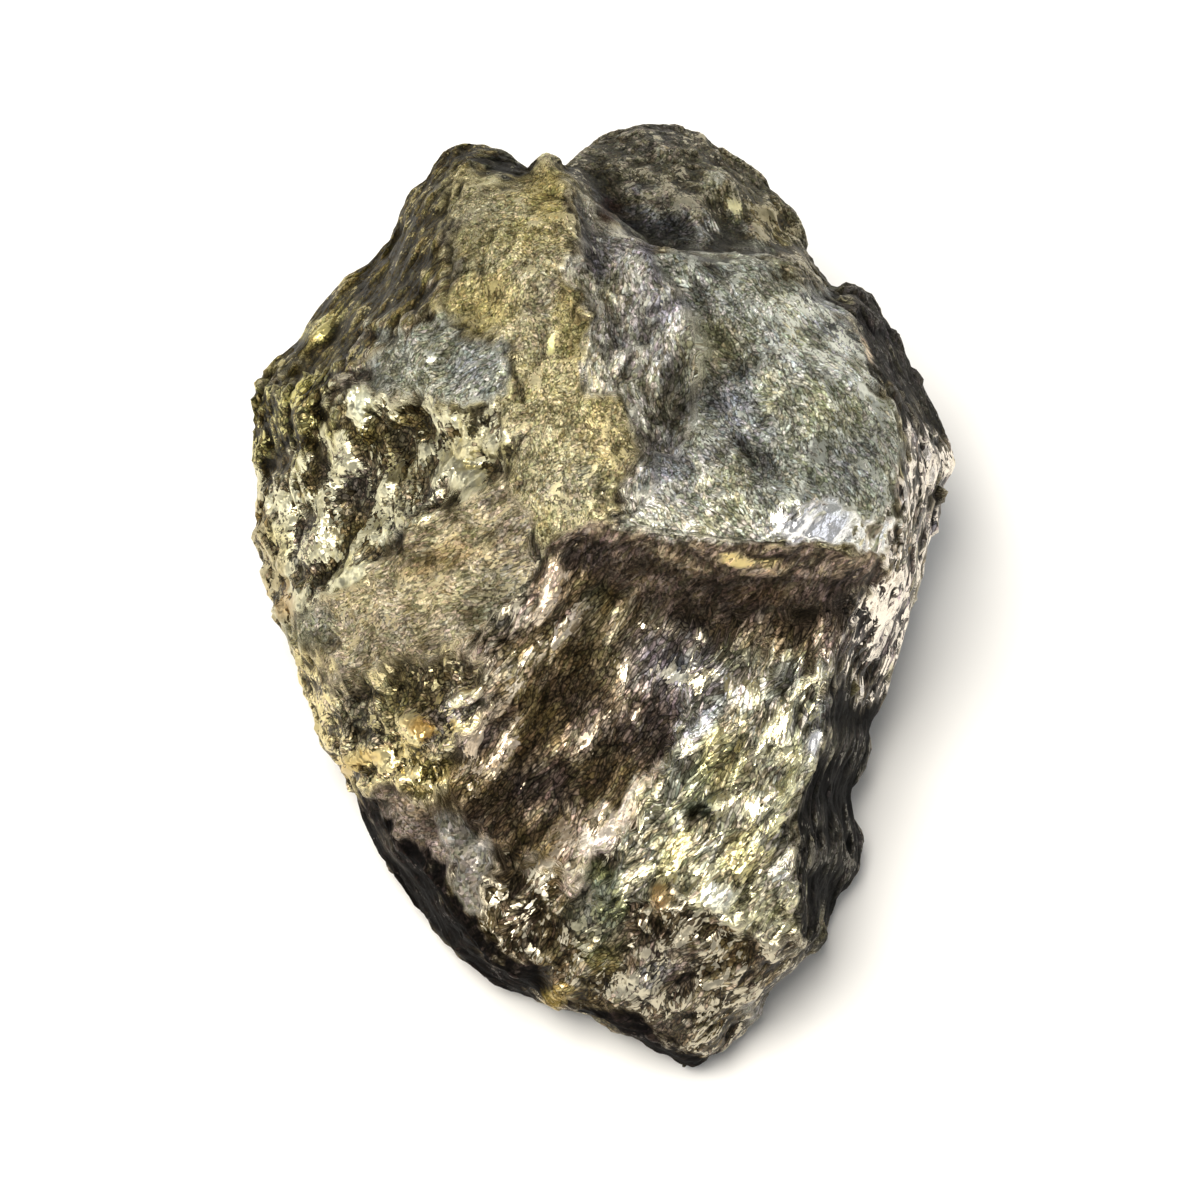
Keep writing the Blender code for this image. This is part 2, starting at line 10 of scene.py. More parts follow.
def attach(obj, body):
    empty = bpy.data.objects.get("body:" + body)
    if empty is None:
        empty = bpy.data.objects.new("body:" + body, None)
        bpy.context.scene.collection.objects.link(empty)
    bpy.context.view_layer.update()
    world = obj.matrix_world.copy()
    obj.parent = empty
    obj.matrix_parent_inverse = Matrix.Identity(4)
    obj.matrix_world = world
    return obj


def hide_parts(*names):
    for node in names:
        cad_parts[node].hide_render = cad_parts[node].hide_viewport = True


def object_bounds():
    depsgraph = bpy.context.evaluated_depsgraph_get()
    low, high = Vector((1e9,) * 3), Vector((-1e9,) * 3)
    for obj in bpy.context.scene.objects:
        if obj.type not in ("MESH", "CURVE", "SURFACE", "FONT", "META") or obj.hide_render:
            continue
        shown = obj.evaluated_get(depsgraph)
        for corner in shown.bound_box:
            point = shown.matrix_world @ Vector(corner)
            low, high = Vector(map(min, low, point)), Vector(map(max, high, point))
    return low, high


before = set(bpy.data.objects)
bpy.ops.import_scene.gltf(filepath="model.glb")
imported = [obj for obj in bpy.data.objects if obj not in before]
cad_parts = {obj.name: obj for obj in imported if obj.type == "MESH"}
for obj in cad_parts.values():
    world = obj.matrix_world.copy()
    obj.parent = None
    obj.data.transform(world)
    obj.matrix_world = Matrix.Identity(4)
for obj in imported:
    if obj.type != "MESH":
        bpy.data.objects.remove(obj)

# The picture of a rough lump of massive pyrite that lies on its flat back. Lengths in the dictionaries are
# in millimetres and turns in degrees. Places on the broad face are (across, up), as they look from the
# camera, from the middle of the face.
mm = 0.001  # in metres
cadLow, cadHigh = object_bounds()
print("frame loaded, box in mm:", [round(v / mm, 1) for v in (*cadLow, *cadHigh)])


def toLinear(hexColour):
    # An sRGB hex colour as the linear colour that the nodes and lights take.
    parts = np.array([int(hexColour[i:i + 2], 16) for i in (1, 3, 5)]) / 255
    return np.where(parts <= 0.04045, parts / 12.92, ((parts + 0.055) / 1.055) ** 2.4)


def addNode(material, kind, settings=None, links=None):
    # Adds one shader node. Settings name its own values or its input sockets, and links give the output
    # that goes into an input.
    node = material.node_tree.nodes.new("ShaderNode" + kind)
    for name, value in (settings or {}).items():
        if isinstance(name, int) or name in node.inputs:
            node.inputs[name].default_value = value
        else:
            setattr(node, name, value)
    for name, output in (links or {}).items():
        material.node_tree.links.new(output, node.inputs[name])
    return node


def newMaterial(name):
    # An empty material with its output node.
    material = bpy.data.materials.new(name)
    material.use_nodes = True
    material.node_tree.nodes.clear()
    return material, addNode(material, "OutputMaterial")


def newPiece(name, points, faces):
    # A mesh object at the origin, from points in metres and the corners of its faces.
    mesh = bpy.data.meshes.new(name)
    mesh.from_pydata(points.tolist(), [], faces.tolist())
    piece = bpy.data.objects.new(name, mesh)
    bpy.context.scene.collection.objects.link(piece)
    return piece


# The camera stands straight in front of the broad face.
cameraPlan = {
    "lookAt": (-0.15, -5.52, 24.0),  # the middle of the face
    "elevation": 60.0,
    "distance": 375.0,
    "frameWidth": 100.0,  # what the picture takes in there
    "sensor": 36.0,
    "clip": (10.0, 50000.0),
}
elevation = math.radians(cameraPlan["elevation"])
faceMiddle = np.array(cameraPlan["lookAt"]) * mm
# Rows: to the right, up the picture, and out towards the camera.
faceAxes = np.array([
    [1.0, 0.0, 0.0],
    [0.0, math.sin(elevation), math.cos(elevation)],
    [0.0, -math.cos(elevation), math.sin(elevation)],
])


def toFace(points):
    # Points in metres as (across, up, out) in millimetres from the middle of the face.
    return (points - faceMiddle) @ faceAxes.T / mm


def fromFace(places):
    # The other way: (across, up, out) in millimetres to a point in metres.
    return places * mm @ faceAxes + faceMiddle


def makeCamera(plan):
    # The lens that takes in the frame's width at that distance: sensor times distance, by the width.
    data = bpy.data.cameras.new("camera")
    data.sensor_width = plan["sensor"]
    data.lens = plan["sensor"] * plan["distance"] / plan["frameWidth"]
    data.clip_start, data.clip_end = np.array(plan["clip"]) * mm
    camera = bpy.data.objects.new("camera", data)
    camera.matrix_world = Matrix.LocRotScale(
        Vector(fromFace(np.array([0.0, 0.0, plan["distance"]]))), Matrix(faceAxes.T).to_quaternion(), None)
    bpy.context.scene.collection.objects.link(camera)
    bpy.context.scene.camera = camera


makeCamera(cameraPlan)
print("camera placed")

# Large soft lights round the stone, placed on the face's axes, and an even sky. Power is in watts.
studio = {
    "lights": {
        "key": {"at": (-230, 320, 1200), "size": 560, "power": 20.0, "colour": "#fff9f0"},
        "left": {"at": (-1100, 250, 600), "size": 600, "power": 2.6, "colour": "#ffffff"},
        "right": {"at": (1100, 300, 450), "size": 600, "power": 1.2, "colour": "#f2f4ff"},
        "back": {"at": (100, 1300, 300), "size": 700, "power": 2.2, "colour": "#ffffff"},
    },
    "sky": "#eef0f2",
    "skyStrength": 0.30,
    "floor": "#f4f4f2",
    "floorHalf": 3000,
    "floorSquares": 8,
}


def makeLights(plan):
    # Round area lights that face the middle of the stone, and the sky's light from all round.
    for name, light in plan["lights"].items():
        data = bpy.data.lights.new(name, "AREA")
        data.shape = "DISK"
        data.size = light["size"] * mm
        data.energy = light["power"]
        data.color = toLinear(light["colour"])
        lamp = bpy.data.objects.new(name, data)
        place = Vector(fromFace(np.array(light["at"], float)))
        lamp.location = place
        lamp.rotation_euler = (place - Vector(faceMiddle)).to_track_quat("Z", "Y").to_euler()
        lamp.visible_camera = False
        bpy.context.scene.collection.objects.link(lamp)
    world = bpy.data.worlds.new("studio")
    world.use_nodes = True
    background = world.node_tree.nodes["Background"]
    background.inputs["Color"].default_value = (*toLinear(plan["sky"]), 1)
    background.inputs["Strength"].default_value = plan["skyStrength"]
    bpy.context.scene.world = world
    bpy.context.scene.view_settings.view_transform = "Standard"


def makeFloor(plan):
    # A flat grid of squares at the height of the stone's flat, from minus half to half its width both ways.
    # Matt paint: even and pale.
    half, steps = plan["floorHalf"] * mm, plan["floorSquares"]
    u, v = np.meshgrid(*[np.linspace(-half, half, steps + 1)] * 2, indexing="ij")
    points = np.stack([u, v, np.zeros_like(u)], -1).reshape(-1, 3)
    corner = (np.arange(steps)[:, None] * (steps + 1) + np.arange(steps)).reshape(-1, 1)
    floor = newPiece("floor", points, corner + np.array([0, steps + 1, steps + 2, 1]))
    material, output = newMaterial("matt floor paint")
    shader = addNode(material, "BsdfPrincipled", {
        "Base Color": (*toLinear(plan["floor"]), 1), "Roughness": 0.9, "Specular IOR Level": 0.2})
    material.node_tree.links.new(shader.outputs["BSDF"], output.inputs["Surface"])
    floor.data.materials.append(material)


makeLights(studio)
makeFloor(studio)
print("studio lit")


# Random numbers and patterns, worked out for all points at once. Each pattern has a seed of its own.
def scatter(cells, seed):
    # Three even random numbers for each cell: its whole numbers times large odd ones, added and folded.
    whole = cells.astype(np.int64).astype(np.uint32)
    total = np.full(whole.shape[:-1], seed * 668265263 % 2 ** 32, np.uint32)
    for axis, factor in enumerate((2654435761, 2246822519, 3266489917)):
        total = total + whole[..., axis] * np.uint32(factor)
    draws = []
    for factor in (739982445, 695872825, 458671337):
        total = (total ^ (total >> np.uint32(15))) * np.uint32(factor)
        total = total ^ (total >> np.uint32(13))
        draws.append(total / 2 ** 32)
    return np.stack(draws, -1)


def swell(places, size, seed, octaves=1):
    # Smooth noise from -1 to 1: random heights at the corners of cubes of that size, blended between them.
    # Each further octave is half as large and half as high, and moved on so that the cubes don't line up.
    total, most = 0.0, 0.0
    for octave in range(octaves):
        place = places * (2 ** octave / size) + 13.7 * octave
        cell = np.floor(place)
        part = place - cell
        part = part ** 3 * (part * (part * 6 - 15) + 10)
        height = 0.0
        for corner in np.ndindex(2, 2, 2):
            near = np.where(corner, part, 1 - part).prod(-1)
            height = height + near * (scatter(cell + corner, seed + octave)[..., 0] * 2 - 1)
        total = total + height * 0.5 ** octave
        most += 0.5 ** octave
    return total / most


def facets(places, seed):
    # A surface of flat broken faces, about one unit across. Every unit cube holds one blunt peak at a random
    # place: its own height (up to 0.3), plus a slope (up to 0.8) that leans its own way, less 0.9 of the
    # largest of the three ways from its top. The surface is the highest of the peaks near a point, so it has
    # creases but no steps.
    cell = np.floor(places)
    highest = np.full(len(places), -9.0)
    for step in np.ndindex(3, 3, 3):
        other = cell + step - 1
        way = places - other - scatter(other, seed)
        lean = scatter(other, seed + 400) * 2 - 1
        peak = 0.3 * lean[:, 0] + 0.8 * (lean[:, ::-1] * way).sum(-1) - 0.9 * np.abs(way).max(-1)
        highest = np.maximum(highest, peak)
    return highest - highest.mean()


def ease(start, end, value):
    # 0 before start, 1 after end, and an even S between them.
    share = np.clip((value - start) / (end - start), 0, 1)
    return share * share * (3 - 2 * share)


def insideOutline(points, outline):
    # How far each (across, up) point lies inside a closed outline, below zero outside: the distance to the
    # nearest side, with the sign from how often a line to the right crosses the outline.
    corners = np.array(outline, float)
    nearest = np.full(len(points), 1e9)
    inside = np.zeros(len(points), bool)
    for start, end in zip(corners, np.roll(corners, -1, 0)):
        side = end - start
        share = np.clip(((points - start) @ side) / (side @ side), 0, 1)
        nearest = np.minimum(nearest, np.hypot(*(points - start - share[:, None] * side).T))
        crosses = (start[1] > points[:, 1]) != (end[1] > points[:, 1])
        rise = np.where(side[1] == 0, 1e-12, side[1])
        inside ^= crosses & (points[:, 0] < start[0] + (points[:, 1] - start[1]) / rise * side[0])
    return np.where(inside, nearest, -nearest)


def insideEllipse(points, at, half, turn):
    # Distance from the middle of a turned ellipse, in its half widths: 1 on its edge.
    away = points - np.array(at)
    cos, sin = math.cos(math.radians(turn)), math.sin(math.radians(turn))
    along = away[:, 0] * cos + away[:, 1] * sin
    beside = away[:, 1] * cos - away[:, 0] * sin
    return np.hypot(along / half[0], beside / half[1])


# The stone is one closed grid, drawn on to the CAD solid.
stoneGrid = {
    "steps": 128,  # squares along each edge of the six grids
    "spread": 1.25,  # the grids start on an egg this much larger than the stone
    "towardsFace": 0.3,  # moves squares to the side that the camera sees
    "wrapRounds": 30,
    "evenRounds": 6, "even": 0.6,  # how often and how far each point moves to the middle of its neighbours
    "softRounds": 2, "soft": (0.5, -0.52),  # rounds off the edges of the solid's facets: in, and out again
    "flat": (0.3, 2.0),  # the relief starts and is full this far above the ground
}


def cubeGrid(steps):
    # A closed grid of six squares. A point is middle + u * right + v * top, with u and v from -1 to 1 in even
    # steps. Each is turned into an angle, so the squares stay even when the cube is blown up to a ball, and
    # points that two squares share are joined. Also gives each corner's place on its own square, 0 to 1.
    i, j = np.meshgrid(np.arange(steps + 1), np.arange(steps + 1), indexing="ij")
    places, squares, charts = [], [], []
    for number, (axis, sign) in enumerate((axis, sign) for axis in range(3) for sign in (1, -1)):
        middle = np.eye(3, dtype=int)[axis] * sign
        right = np.eye(3, dtype=int)[(axis + 1) % 3]
        top = np.cross(middle, right)
        places.append((middle * steps + (2 * i - steps)[..., None] * right
                       + (2 * j - steps)[..., None] * top).reshape(-1, 3))
        corner = number * (steps + 1) ** 2 + i * (steps + 1) + j
        square = np.stack([corner[:-1, :-1], corner[1:, :-1], corner[1:, 1:], corner[:-1, 1:]], -1)
        squares.append(square.reshape(-1, 4))
        charts.append(np.stack([i, j], -1).reshape(-1, 2) / steps)
    merged, where = np.unique(np.concatenate(places), axis=0, return_inverse=True)
    squares = np.concatenate(squares)
    direction = np.tan(merged / steps * math.pi / 4)
    direction /= np.linalg.norm(direction, axis=1)[:, None]
    return direction, where.ravel()[squares], np.concatenate(charts)[squares]


def edgesOf(squares):
    # Each edge of the grid once, as two point numbers.
    pairs = np.stack([squares, np.roll(squares, -1, 1)], -1).reshape(-1, 2)
    return np.unique(np.sort(pairs, 1), axis=0)


def neighbourMean(values, edges):
    # The mean of the points that each point shares an edge with.
    count = np.bincount(edges.ravel(), minlength=len(values))
    columns = []
    for column in values.T:
        total = np.bincount(edges[:, 0], column[edges[:, 1]], len(values))
        total += np.bincount(edges[:, 1], column[edges[:, 0]], len(values))
        columns.append(total / count)
    return np.stack(columns, 1)


def pointNormals(points, squares):
    # The outward direction at each point: the cross products of its squares' diagonals, added up.
    corner = points[squares]
    facing = np.cross(corner[:, 2] - corner[:, 0], corner[:, 3] - corner[:, 1])
    total = np.stack([np.bincount(squares.ravel(), np.repeat(facing[:, k], 4), len(points))
                      for k in range(3)], 1)
    return total / np.linalg.norm(total, axis=1)[:, None]


def wrapGrid(stone, edges, solid, plan):
    # Draws the grid on to the solid: each round evens the points out along the surface, then moves them to
    # the nearest place on the solid. Soft rounds at the end round off the facets without shrinking them.
    wrap = stone.modifiers.new("wrap", "SHRINKWRAP")
    wrap.target = solid
    wrap.wrap_method = "NEAREST_SURFACEPOINT"
    points = np.zeros(len(stone.data.vertices) * 3, np.float32)
    stone.data.vertices.foreach_get("co", points)
    for turn in range(plan["wrapRounds"]):
        stone.data.vertices.foreach_set("co", points.astype(np.float32).ravel())
        stone.data.update()
        wrapped = stone.evaluated_get(bpy.context.evaluated_depsgraph_get())
        points = np.zeros(len(stone.data.vertices) * 3, np.float32)
        wrapped.data.vertices.foreach_get("co", points)
        points = points.reshape(-1, 3).astype(float)
        if turn < plan["wrapRounds"] - 1:
            for _ in range(plan["evenRounds"]):
                points += plan["even"] * (neighbourMean(points, edges) - points)
    stone.modifiers.clear()
    for _ in range(plan["softRounds"]):
        for share in plan["soft"]:
            points += share * (neighbourMean(points, edges) - points)
    return points


def mergedCopy(node):
    # A CAD node's triangles are loose, so the copy that the grid is drawn on to has its points joined.
    copy = bpy.data.objects.new(node.name + " copy", node.data.copy())
    bpy.context.scene.collection.objects.link(copy)
    mesh = bmesh.new()
    mesh.from_mesh(copy.data)
    bmesh.ops.remove_doubles(mesh, verts=mesh.verts, dist=1e-7)
    mesh.to_mesh(copy.data)
    mesh.free()
    return copy


solid = mergedCopy(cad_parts["pyrite"])
directions, squares, charts = cubeGrid(stoneGrid["steps"])
edges = edgesOf(squares)
corners = toFace(np.array([v.co for v in solid.data.vertices]))
middle, half = (corners.max(0) + corners.min(0)) / 2, (corners.max(0) - corners.min(0)) / 2
directions[:, 2] += stoneGrid["towardsFace"]
directions /= np.linalg.norm(directions, axis=1)[:, None]
stone = newPiece("pyrite_stone", fromFace(middle + directions * half * stoneGrid["spread"]), squares)
points = wrapGrid(stone, edges, solid, stoneGrid)
bpy.data.objects.remove(solid)
print("grid drawn on to the solid:", len(points), "points,", 2 * len(squares), "triangles")

# What the stone is made of. tone and shade: colours of the broken metal and of its tarnish stains; shade is
# also
# the painted shade in its hollows. fleck: colour of the bright crystals, and share: how many there are. rough
# and
# metal: how matt and how metallic it is. tilt: how far the crystals lean. spread: degrees that the grain
# swings
# from one shard to the next. grain: width of a crystal, and its length in widths. facet: size of the broken
# steps, their length in sizes, and how steep they are. grit: height of the fine roughness. crack and speckle:
# how strong the dark lines between the crystals and the fine dust are. A finish has the usual value for what
# it doesn't give.
usualFinish = {
    "share": 0.1, "rough": 0.45, "metal": 0.5, "tilt": 0.35, "spread": 60, "grain": (0.28, 3.0), "grit": 0.07,
    "crack": 0.5, "speckle": 0.5,
}
finishes = {
    "olive": {"tone": "#473f27", "shade": "#352e1a", "fleck": "#b5a668", "share": 0.07, "metal": 0.3,
        "tilt": 0.45, "spread": 70, "grain": (0.32, 1.5), "facet": (2.2, 1.6, 0.12), "grit": 0.08,
        "crack": 0.8},
    "weathered": {"tone": "#746a56", "shade": "#4a4232", "fleck": "#b9ad8c", "rough": 0.5, "tilt": 0.4,
        "spread": 120, "grain": (0.32, 1.6), "facet": (2.4, 1.5, 0.2), "grit": 0.08, "crack": 0.8,
        "speckle": 0.6},
    "oldOlive": {"tone": "#686146", "shade": "#433d28", "fleck": "#b5ab7a", "share": 0.08, "rough": 0.5,
        "tilt": 0.4, "spread": 90, "grain": (0.34, 1.6), "facet": (2.2, 1.6, 0.18), "grit": 0.08,
        "crack": 0.8},
    "dish": {"tone": "#322f26", "shade": "#201f18", "fleck": "#7c7a62", "share": 0.08, "rough": 0.5,
        "tilt": 0.3, "grain": (0.35, 2.0), "facet": (2.0, 1.5, 0.1), "grit": 0.06, "crack": 0.4,
        "speckle": 0.4},
    "tan": {"tone": "#a39b75", "shade": "#776e4e", "fleck": "#cdc39c", "share": 0.12, "rough": 0.7,
        "metal": 0.2, "tilt": 0.25, "spread": 120, "grain": (0.26, 1.4), "facet": (2.4, 1.3, 0.08),
        "grit": 0.1, "speckle": 0.8},
    "shelf": {"tone": "#9a917a", "shade": "#7b7156", "fleck": "#bfb28e", "rough": 0.7, "metal": 0.2,
        "tilt": 0.25, "spread": 25, "grain": (0.25, 2.4), "facet": (1.6, 3.0, 0.08), "crack": 0.4,
        "speckle": 0.6},
    "satin": {"tone": "#949686", "shade": "#737367", "fleck": "#c9cabb", "share": 0.13, "rough": 0.48,
        "metal": 0.45, "tilt": 0.28, "grain": (0.26, 2.0), "facet": (1.8, 2.0, 0.1), "crack": 0.6,
        "speckle": 0.7},
    # Painted sheen: the panel's pale band, coloured lighter where the panel catches the light.
    "paintedSheenSatin": {"tone": "#d8dbcf", "shade": "#85867a", "fleck": "#e4e6d8", "share": 0.24, "metal": 0.6,
        "tilt": 0.28, "grain": (0.26, 2.0), "facet": (1.8, 2.0, 0.08), "grit": 0.06, "speckle": 0.7},
    "recess": {"tone": "#a9a594", "shade": "#6c6758", "fleck": "#cfcbb8", "share": 0.18, "metal": 0.4,
        "tilt": 0.45, "spread": 30, "grain": (0.26, 2.4), "facet": (1.4, 3.0, 0.14), "crack": 0.6},
    "slab": {"tone": "#5d594a", "shade": "#413d2f", "fleck": "#b5ad92", "rough": 0.5, "spread": 120,
        "grain": (0.32, 1.6), "facet": (1.8, 1.5, 0.12), "grit": 0.08, "speckle": 0.9},
    "slabLow": {"tone": "#6c6b64", "shade": "#3c3b36", "fleck": "#8c8c86", "rough": 0.5, "spread": 120,
        "grain": (0.32, 1.6), "facet": (1.8, 1.5, 0.1), "speckle": 0.8},
    # Painted highlight: the chamfer is coloured near white where it faces the light.
    "bright": {"tone": "#f2ecdd", "shade": "#c4bba8", "fleck": "#fffcf4", "share": 0.6, "rough": 0.32,
        "metal": 0.6, "spread": 50, "grain": (0.4, 3.5), "facet": (1.3, 2.6, 0.28), "grit": 0.05,
        "crack": 0.3, "speckle": 0.05},
    "underside": {"tone": "#766858", "shade": "#4c4238", "fleck": "#b09f84", "share": 0.05, "rough": 0.55,
        "metal": 0.3, "tilt": 0.2, "spread": 40, "facet": (1.6, 2.4, 0.16), "grit": 0.06, "crack": 0.3,
        "speckle": 0.7},
    # Painted shade: the flank's dark colour, where the side turns away from the light.
    "flank": {"tone": "#3a3731", "shade": "#282622", "fleck": "#55514a", "share": 0.08, "rough": 0.7,
        "metal": 0.1, "spread": 90, "grain": (0.35, 2.0), "facet": (2.0, 2.0, 0.14), "speckle": 0.6},
    "strip": {"tone": "#7a7062", "shade": "#231b13", "fleck": "#f4eadb", "share": 0.31, "rough": 0.36,
        "metal": 0.75, "tilt": 0.5, "spread": 70, "grain": (0.4, 2.6), "facet": (1.5, 2.0, 0.22),
        "grit": 0.06, "crack": 1, "speckle": 0.3},
    "hollow": {"tone": "#8f8568", "shade": "#6b6048", "fleck": "#f0eac6", "share": 0.34, "rough": 0.38,
        "metal": 0.7, "tilt": 0.65, "spread": 180, "grain": (0.33, 1.8), "facet": (1.7, 1.2, 0.27),
        "grit": 0.08, "crack": 1, "speckle": 0.3},
    "bulge": {"tone": "#494124", "shade": "#2b2410", "fleck": "#ddd390", "share": 0.13, "rough": 0.4,
        "metal": 0.65, "tilt": 0.55, "spread": 140, "grain": (0.33, 1.8), "facet": (1.7, 1.3, 0.25),
        "grit": 0.08, "crack": 1, "speckle": 0.4},
    "lumps": {"tone": "#bcb18e", "shade": "#73674c", "fleck": "#efdfa8", "share": 0.27, "rough": 0.4,
        "metal": 0.7, "tilt": 0.55, "spread": 150, "grain": (0.33, 1.8), "facet": (2.4, 1.3, 0.28),
        "grit": 0.08, "crack": 1, "speckle": 0.4},
    "trough": {"tone": "#8a7b63", "shade": "#4b3f30", "fleck": "#c8b8a0", "share": 0.12, "metal": 0.25,
        "tilt": 0.45, "spread": 14, "facet": (1.3, 5.0, 0.2), "crack": 0.9, "speckle": 0.8},
    "troughWall": {"tone": "#b6a68b", "shade": "#74654f", "fleck": "#e9dcc6", "share": 0.18, "rough": 0.4,
        "metal": 0.4, "tilt": 0.5, "spread": 18, "facet": (1.5, 4.0, 0.26), "crack": 0.9, "speckle": 0.6},
    "band": {"tone": "#ded0ba", "shade": "#c2b49b", "fleck": "#efe3d1", "share": 0.12, "rough": 0.42,
        "metal": 0.25, "tilt": 0.25, "spread": 10, "facet": (1.0, 5.0, 0.12), "grit": 0.05, "crack": 0.15,
        "speckle": 0.4},
    "splinter": {"tone": "#c3bfa7", "shade": "#7a755c", "fleck": "#dcd6b0", "share": 0.2, "rough": 0.38,
        "metal": 0.65, "tilt": 0.5, "spread": 45, "facet": (1.5, 2.6, 0.2), "grit": 0.06, "crack": 0.8,
        "speckle": 0.4},
    # Painted shade: the side that turns away from the light is coloured near black.
    "darkSidePaintedShade": {"tone": "#201e1b", "shade": "#0c0b0a", "fleck": "#6a665c", "share": 0.04, "rough": 0.7,
        "metal": 0.1, "spread": 90, "grain": (0.35, 2.0), "facet": (2.0, 2.0, 0.12), "grit": 0.06},
    "foot": {"tone": "#6a5e49", "shade": "#382f23", "fleck": "#c4bba4", "share": 0.17, "tilt": 0.45,
        "facet": (1.8, 1.8, 0.16), "crack": 0.9},
    "quartz": {"tone": "#7a766b", "shade": "#757167", "fleck": "#85817a", "share": 0.02, "rough": 0.4,
        "metal": 0.0, "tilt": 0.07, "spread": 180, "grain": (0.5, 1.2), "facet": (1.4, 1.0, 0.08),
        "grit": 0.05, "crack": 0.04, "speckle": 0.15},
    "brownFacet": {"tone": "#7a6e5f", "shade": "#605547", "fleck": "#95897a", "share": 0.06, "rough": 0.55,
        "metal": 0.3, "tilt": 0.25, "grain": (0.3, 2.0), "facet": (1.6, 2.0, 0.08), "grit": 0.05,
        "crack": 0.4, "speckle": 0.7},
    # Painted shade: the lower left rim and the ground round the tip are coloured black.
    "darkRimPaintedShade": {"tone": "#0b0907", "shade": "#0b0807", "fleck": "#39302b", "share": 0.02, "rough": 0.7,
        "metal": 0.0, "tilt": 0.3, "spread": 90, "grain": (0.35, 2.0), "facet": (1.8, 2.0, 0.12),
        "grit": 0.06, "crack": 0.4},
}

